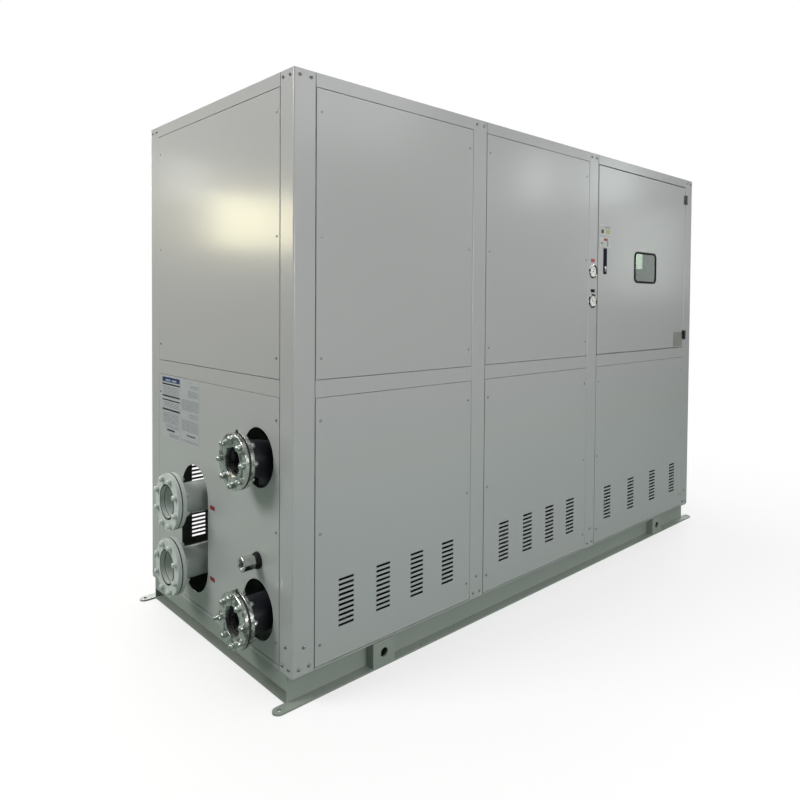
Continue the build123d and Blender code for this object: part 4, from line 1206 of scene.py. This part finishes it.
class CHILLER_OT_handle(bpy.types.Operator):
    """Swing handle with its lever and push lock"""

    bl_idname = "chiller.handle"
    bl_label = "Handle"

    def execute(self, context):
        low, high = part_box("door_handle")
        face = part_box("control_door")[0].y
        x, z = (low.x + high.x) / 2, (low.z + high.z) / 2
        half, proud, side = 0.014, 0.006, 0.0092
        top, foot = z + 0.068, z - 0.026
        lock_low, lock_high = z - 0.063, z - 0.031

        def recess(bottom, roof, depth):
            pick(lambda at, normal: normal[1] < -0.9 and abs(at[0] - x) < side and bottom < at[2] < roof)
            push((0, depth, 0))

        block((x - half, face - proud, low.z), (x + half, face, high.z))
        split_face(1, -1, ((2, top), (2, foot), (2, lock_high), (2, lock_low), (0, x - side), (0, x + side)))
        recess(foot, top, proud - 0.0006)
        recess(lock_low, lock_high, 0.003)
        round_edges(0.0009)
        housing = done(
            close_edit(), "handle_housing", "black", body=DOOR, smooth=30.0
        )
        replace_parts(housing, "door_handle")

        reach, thumb = 0.0066, foot + 0.019
        block((x - reach, face - proud + 0.0008, foot + 0.005), (x + reach, face - 0.0025, top - 0.0045))
        split_face(1, -1, ((2, thumb), (2, foot + 0.065)))
        pick(lambda at, normal: normal[1] < -0.9 and at[2] < thumb)
        shift(0, 0.0012, 0)
        pick(lambda at, normal: normal[1] < -0.9 and at[2] > thumb)
        inset(0.0018)
        shift(0, -0.0006, 0)
        round_edges(0.0007, sharp=50)
        lever = done(close_edit(), "handle_grip", "black", body=LEVER, smooth=30.0)
        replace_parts(lever, "handle_lever")

        fit, front = 0.0004, face - proud - 0.001
        block((x - side + fit, front, lock_low + fit), (x + side - fit, face - 0.003, lock_high - fit))
        round_edges(0.0009)
        body = close_edit()
        lock_z = (lock_low + lock_high) / 2
        barrel = turned(
            [
                (-0.0005, 0.0), (-0.0005, 0.0060), (0.0010, 0.0060), (0.0015, 0.0055), (0.0015, 0.0036),
                (0.0007, 0.0034), (0.0007, 0.0),
            ],
            (x, front, lock_z), FRONT, X, steps=28,
        )
        lock = done(join([body, barrel]), "push_lock", "lever", body=DOOR, smooth=30.0)
        # A black bar in the lock's face stands in for the dark keyway: painted shade
        block((x - 0.0006, front - 0.0013, lock_z - 0.0028), (x + 0.0006, front - 0.0002, lock_z + 0.0028))
        round_edges(0.0002, segments=1)
        done(close_edit(), "keyway_painted_shade", "black", body=DOOR, smooth=0)
        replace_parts(lock, "lock_barrel")
        return {"FINISHED"}


class CHILLER_OT_window(bpy.types.Operator):
    """Rubber rim and pane of the door's window"""

    bl_idname = "chiller.window"
    bl_label = "Window"

    def execute(self, context):
        low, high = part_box("window_frame")
        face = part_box("control_door")[0].y
        rims = []
        for near, far, width in ((-0.0048, 0.0, 0.0135), (0.0015, 0.0065, 0.013)):
            slab((low.x, face + near, low.z), (high.x, face + far, high.z), 1, 0.034, 7)
            tunnel(1, width)
            round_edges(0.0019, sharp=50)
            rims.append(close_edit())
        rim = done(join(rims), "window_rim", "rubber", body=DOOR, smooth=30.0)
        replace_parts(rim, "window_frame")
        edge = 0.0128
        slab(
            (low.x + edge, face - 0.0012, low.z + edge), (high.x - edge, face + 0.0014, high.z - edge),
            1, 0.024, 6,
        )
        pane = done(close_edit(), "window_pane", "glass", body=DOOR, smooth=0)
        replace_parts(pane, "window_glass")
        return {"FINISHED"}


def breaker():
    """A circuit breaker with its toggle, made at the origin with its back near the plate."""
    stepped((0.0, -0.068, -0.042), (0.0176, -0.004, 0.042), ((0.0008, 0.0006),))
    pick(lambda at, normal: normal[1] < -0.9 and at[1] < -0.0684)
    bpy.ops.mesh.subdivide(number_cuts=2)
    pick(lambda at, normal: normal[1] < -0.9 and abs(at[2]) < 0.012 and abs(at[0] - 0.0088) < 0.003)
    push((0, -0.010, 0))
    round_edges(0.0006, segments=1)
    return close_edit()


def contactor(width):
    """A contactor or relay with a stepped front."""
    stepped((0.0, -0.085, -0.045), (width, -0.004, 0.045), ((0.006, 0.022), (0.004, 0.004)))
    round_edges(0.0012)
    return close_edit()


def terminal():
    """A rail terminal with a tapered front."""
    block((0.0, -0.042, -0.024), (0.0062, -0.004, 0.024))
    pick(facing(1, -1))
    squash(1.0, 1.0, 0.6)
    pick(facing(1, -1))
    bpy.ops.mesh.subdivide(number_cuts=1)
    round_edges(0.0005, segments=1)
    return close_edit()


class CHILLER_OT_switchgear(bpy.types.Operator):
    """Rails, trunking, breakers, contactors and terminals on the mounting plate"""

    bl_idname = "chiller.switchgear"
    bl_label = "Switchgear"

    def execute(self, context):
        low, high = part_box("mounting_plate")
        face = low.y
        left, right = low.x + 0.03, high.x - 0.03
        rows = [high.z - drop for drop in (0.14, 0.36, 0.58, 0.80)]
        rails, trunking = [], []
        for z in rows:
            stepped(
                (left + 0.05, face - 0.0075, z - 0.0175), (right - 0.05, face, z + 0.0175),
                ((0.004, -0.005),),
            )
            rails.append(close_edit())
        duct_low, duct_high, duct = rows[-1] - 0.10, rows[0] + 0.09, 0.02
        runs = [
            ((left, z - duct), (right, z + duct), 0.004)
            for z in [duct_high] + [(a + b) / 2 for a, b in zip(rows, rows[1:])] + [duct_low]
        ]
        runs += [((x - duct, duct_low), (x + duct, duct_high), 0.003) for x in (left, right)]
        for (x0, z0), (x1, z1), cover in runs:
            stepped((x0, face - 0.06, z0), (x1, face, z1), ((0.0015, cover),))
            round_edges(0.001, segments=1)
            trunking.append(close_edit())
        done(join(rails), "mounting_rails", "zinc", smooth=0)
        done(join(trunking), "cable_trunking", "grey", smooth=0)

        spots = x_row(left + 0.07, 0.0182, 26, face, rows[0])
        done(copies(breaker(), spots), "breakers", "white", smooth=0)
        spots = x_row(left + 0.08, 0.075, 6, face, rows[1])
        done(copies(contactor(0.062), spots), "contactors", "black", smooth=0)
        spots = x_row(left + 0.56, 0.048, 5, face, rows[1])
        done(copies(contactor(0.04), spots), "relays", "grey", smooth=0)

        controller, windings = [], []
        for x, width in ((0.08, 0.14), (0.235, 0.09), (0.34, 0.09)):
            stepped(
                (left + x, face - 0.075, rows[2] - 0.055), (left + x + width, face - 0.004, rows[2] + 0.055),
                ((0.007, -0.003), (0.002, 0.006)),
            )
            round_edges(0.001)
            controller.append(close_edit())
        done(join(controller), "controller", "grey", smooth=0)
        for x in (0.56, 0.70):
            block(
                (left + x, face - 0.09, rows[2] - 0.05), (left + x + 0.10, face - 0.004, rows[2] + 0.05)
            )
            for sign in (1, -1):
                pick(facing(0, sign))
                inset(0.02)
                push((sign * 0.012, 0, 0))
            round_edges(0.003)
            windings.append(close_edit())
        done(join(windings), "transformers", "shell", smooth=0)

        spots = x_row(left + 0.07, 0.0066, 100, face, rows[3])
        done(copies(terminal(), spots), "terminals", "beige", smooth=0)
        bolt = [(0.0, 0.0), (0.0, 0.006), (0.026, 0.006), (0.026, 0.009), (0.036, 0.009), (0.036, 0.0)]
        bars = []
        for x in (left + 0.60 + 0.06 * i for i in range(3)):
            block((x - 0.010, face - 0.030, rows[0] - 0.06), (x + 0.010, face - 0.026, rows[0] + 0.06))
            pick(facing(2))
            push((0, 0, 0.012))
            round_edges(0.0006, segments=1)
            bars.append(close_edit())
            for z in (-0.045, 0.045):
                bars.append(turned(bolt, (x, face, rows[0] + z), FRONT, X, steps=12))
        done(join(bars), "supply_bars", "copper", smooth=0)
        return {"FINISHED"}


class CHILLER_OT_door_fittings(bpy.types.Operator):
    """Foam seal inside the door"""

    bl_idname = "chiller.door_fittings"
    bl_label = "Door fittings"

    def execute(self, context):
        low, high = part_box("control_door")
        back = low.y + 0.002
        edge, width, depth = 0.012, 0.014, 0.011
        block((low.x + edge, back, low.z + edge), (high.x - edge, back + depth, high.z - edge))
        tunnel(1, width)
        done(close_edit(), "door_seal", "foam", body=DOOR, smooth=0)
        return {"FINISHED"}


WHITE = (1.0, 1.0, 1.0)
# Soft lights: name, place, target, width and height, power in watts, colour
LAMPS = (
    ("overhead", (-0.4, -0.8, 5.6), (-0.2, 0.0, 0.8), (4.5, 3.5), 40.0, WHITE),
    ("end_high", (-5.6, 1.4, 4.4), (-1.57, 0.1, 1.7), (2.6, 1.8), 240.0, (1.0, 0.985, 0.97)),
    ("front_high", (1.6, -5.8, 4.4), (0.2, -0.6, 1.7), (3.6, 1.8), 48.0, WHITE),
    ("front_low", (-0.9, -5.6, 1.8), (-0.6, -0.6, 1.2), (2.4, 1.4), 118.0, (1.0, 0.995, 1.0)),
    ("end_window", (-2.74, 2.93, 2.54), (-1.57, 0.21, 2.06), (0.34, 0.36), 0.6, WHITE),
    ("end_warm", (-3.00, 2.06, 2.13), (-1.57, -0.47, 1.81), (0.80, 0.42), 7.2, (1.0, 0.93, 0.60)),
    ("middle_window", (3.66, -3.70, 3.05), (-0.16, -0.67, 2.10), (0.36, 0.56), 4.0, (0.95, 1.0, 1.0)),
    ("door_window", (4.62, -3.24, 3.10), (0.54, -0.67, 2.19), (0.50, 0.60), 5.4, (0.93, 1.0, 1.0)),
    ("door_glow", (5.6, -3.40, 2.20), (0.95, -0.67, 1.74), (1.00, 1.20), 7.0, (0.95, 1.0, 0.97)),
    ("back_soft", (0.4, 6.2, 3.6), (0.0, 0.67, 1.2), (4.2, 2.2), 190.0, WHITE),
    ("right_soft", (6.4, 0.6, 3.4), (1.57, 0.0, 1.2), (3.0, 2.2), 130.0, WHITE),
    ("pane_gleam", (4.20, -2.60, 2.02), (0.88, -0.67, 1.78), (0.11, 0.21), 0.26, (0.80, 1.0, 0.78)),
)
# What the object mirrors, by the height of the view direction: dim low down, bright overhead
ROOM_STOPS = (
    (0.0, (0.16, 0.19, 0.17)), (1.0, WHITE), (0.14, (0.30, 0.33, 0.32)), (0.45, (0.62, 0.63, 0.63)),
)
# The photograph's camera: place, view direction, direction of the picture's right, shifts of the picture
CAMERA_PLACE = (-2.8745, -2.8142, 1.5165)
CAMERA_FORWARD = (0.71015, 0.70358, -0.02572)
CAMERA_RIGHT = (0.70395, -0.71019, 0.00909)
CAMERA_SHIFT = (-0.075, -0.1019)


def add_lamp(scene, name, place, target, size, power, colour):
    """A rectangular light aimed at a target, which the camera doesn't see."""
    light = bpy.data.lights.new(name, "AREA")
    light.shape = "RECTANGLE"
    light.size, light.size_y = size
    light.energy = power
    light.color = colour
    lamp = bpy.data.objects.new(name, light)
    lamp.location = place
    lamp.rotation_euler = (Vector(target) - Vector(place)).to_track_quat("-Z", "Y").to_euler()
    lamp.visible_camera = False
    scene.collection.objects.link(lamp)


def make_world(brightness):
    """A world that is white to the camera and a dim room to everything else."""
    world = bpy.data.worlds.new("studio")
    world.use_nodes = True
    tree = world.node_tree
    tree.nodes.clear()
    out, mix, seen, lit, ramp, coord, split, path = (
        tree.nodes.new(f"ShaderNode{kind}")
        for kind in (
            "OutputWorld", "MixShader", "Background", "Background", "ValToRGB", "TexCoord", "SeparateXYZ",
            "LightPath",
        )
    )
    seen.inputs["Color"].default_value = (*WHITE, 1.0)
    lit.inputs["Strength"].default_value = brightness
    stops = ramp.color_ramp.elements
    for element, (position, colour) in zip(stops, ROOM_STOPS):
        element.position = position
        element.color = (*colour, 1.0)
    for position, colour in ROOM_STOPS[2:]:
        stops.new(position).color = (*colour, 1.0)
    for source, target in (
        (coord.outputs["Generated"], split.inputs[0]), (split.outputs[2], ramp.inputs[0]),
        (ramp.outputs[0], lit.inputs["Color"]), (path.outputs["Is Camera Ray"], mix.inputs[0]),
        (lit.outputs[0], mix.inputs[1]), (seen.outputs[0], mix.inputs[2]),
        (mix.outputs[0], out.inputs["Surface"]),
    ):
        tree.links.new(source, target)
    return world


class CHILLER_OT_stage(bpy.types.Operator):
    """Pale floor, soft lights and the camera at the photograph's angle"""

    bl_idname = "chiller.stage"
    bl_label = "Stage"

    def execute(self, context):
        scene = context.scene
        settings = scene.chiller_stage
        tone = scene.chiller_colours
        inside = (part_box("corner_posts")[1].x - 0.01, -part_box("base_front_beam")[1].y)
        FINISHES["floor"] = floor_finish("studio_floor", tuple(tone.floor), tuple(tone.room), *inside)
        start("plane", size=60.0)
        select_all()
        bpy.ops.mesh.subdivide(number_cuts=4)
        floor = close_edit()
        floor.name = "studio_floor"
        floor.data.materials.append(finish_of("floor"))

        for name, place, target, size, power, colour in LAMPS:
            add_lamp(scene, name, place, target, size, power * settings.light, colour)
        scene.world = make_world(settings.room)
        scene.view_settings.view_transform = "Standard"

        data = bpy.data.cameras.new("view")
        data.lens = settings.lens
        data.sensor_width = 36.0
        data.shift_x, data.shift_y = CAMERA_SHIFT
        data.clip_end = 200.0
        camera = bpy.data.objects.new("view", data)
        forward = Vector(CAMERA_FORWARD).normalized()
        right = Vector(CAMERA_RIGHT).normalized()
        up = right.cross(forward).normalized()
        turn = Matrix((right, up, -forward)).transposed().to_4x4()
        camera.matrix_world = Matrix.Translation(CAMERA_PLACE) @ turn
        scene.collection.objects.link(camera)
        scene.camera = camera
        return {"FINISHED"}


class CHILLER_PT_panel(bpy.types.Panel):
    """Lists the operators and the settings"""

    bl_label = "Chiller"
    bl_idname = "CHILLER_PT_panel"
    bl_space_type = "VIEW_3D"
    bl_region_type = "UI"
    bl_category = "Chiller"

    def draw(self, context):
        for step in STEPS:
            self.layout.operator(step.bl_idname)
        for name, group in GROUPS.items():
            box = self.layout.box()
            for key in group.__annotations__:
                box.prop(getattr(context.scene, name), key)


STEPS = (
    CHILLER_OT_finishes,
    CHILLER_OT_frame_screws,
    CHILLER_OT_panel_screws,
    CHILLER_OT_roof,
    CHILLER_OT_flange_bolts,
    CHILLER_OT_flange_details,
    CHILLER_OT_lagged_pipes,
    CHILLER_OT_drain,
    CHILLER_OT_labels,
    CHILLER_OT_gauges,
    CHILLER_OT_handle,
    CHILLER_OT_window,
    CHILLER_OT_switchgear,
    CHILLER_OT_door_fittings,
    CHILLER_OT_stage,
)
GROUPS = {
    "chiller_colours": ChillerColours,
    "chiller_fasteners": ChillerFasteners,
    "chiller_connections": ChillerConnections,
    "chiller_stage": ChillerStage,
}


def register():
    for name, group in GROUPS.items():
        bpy.utils.register_class(group)
        setattr(bpy.types.Scene, name, PointerProperty(type=group))
    for step in STEPS:
        bpy.utils.register_class(step)
    bpy.utils.register_class(CHILLER_PT_panel)


def unregister():
    bpy.utils.unregister_class(CHILLER_PT_panel)
    for step in reversed(STEPS):
        bpy.utils.unregister_class(step)
    for name, group in GROUPS.items():
        delattr(bpy.types.Scene, name)
        bpy.utils.unregister_class(group)


def main():
    register()
    for step in STEPS:
        family, action = step.bl_idname.split(".")
        getattr(getattr(bpy.ops, family), action)()


if __name__ == "__main__":
    main()
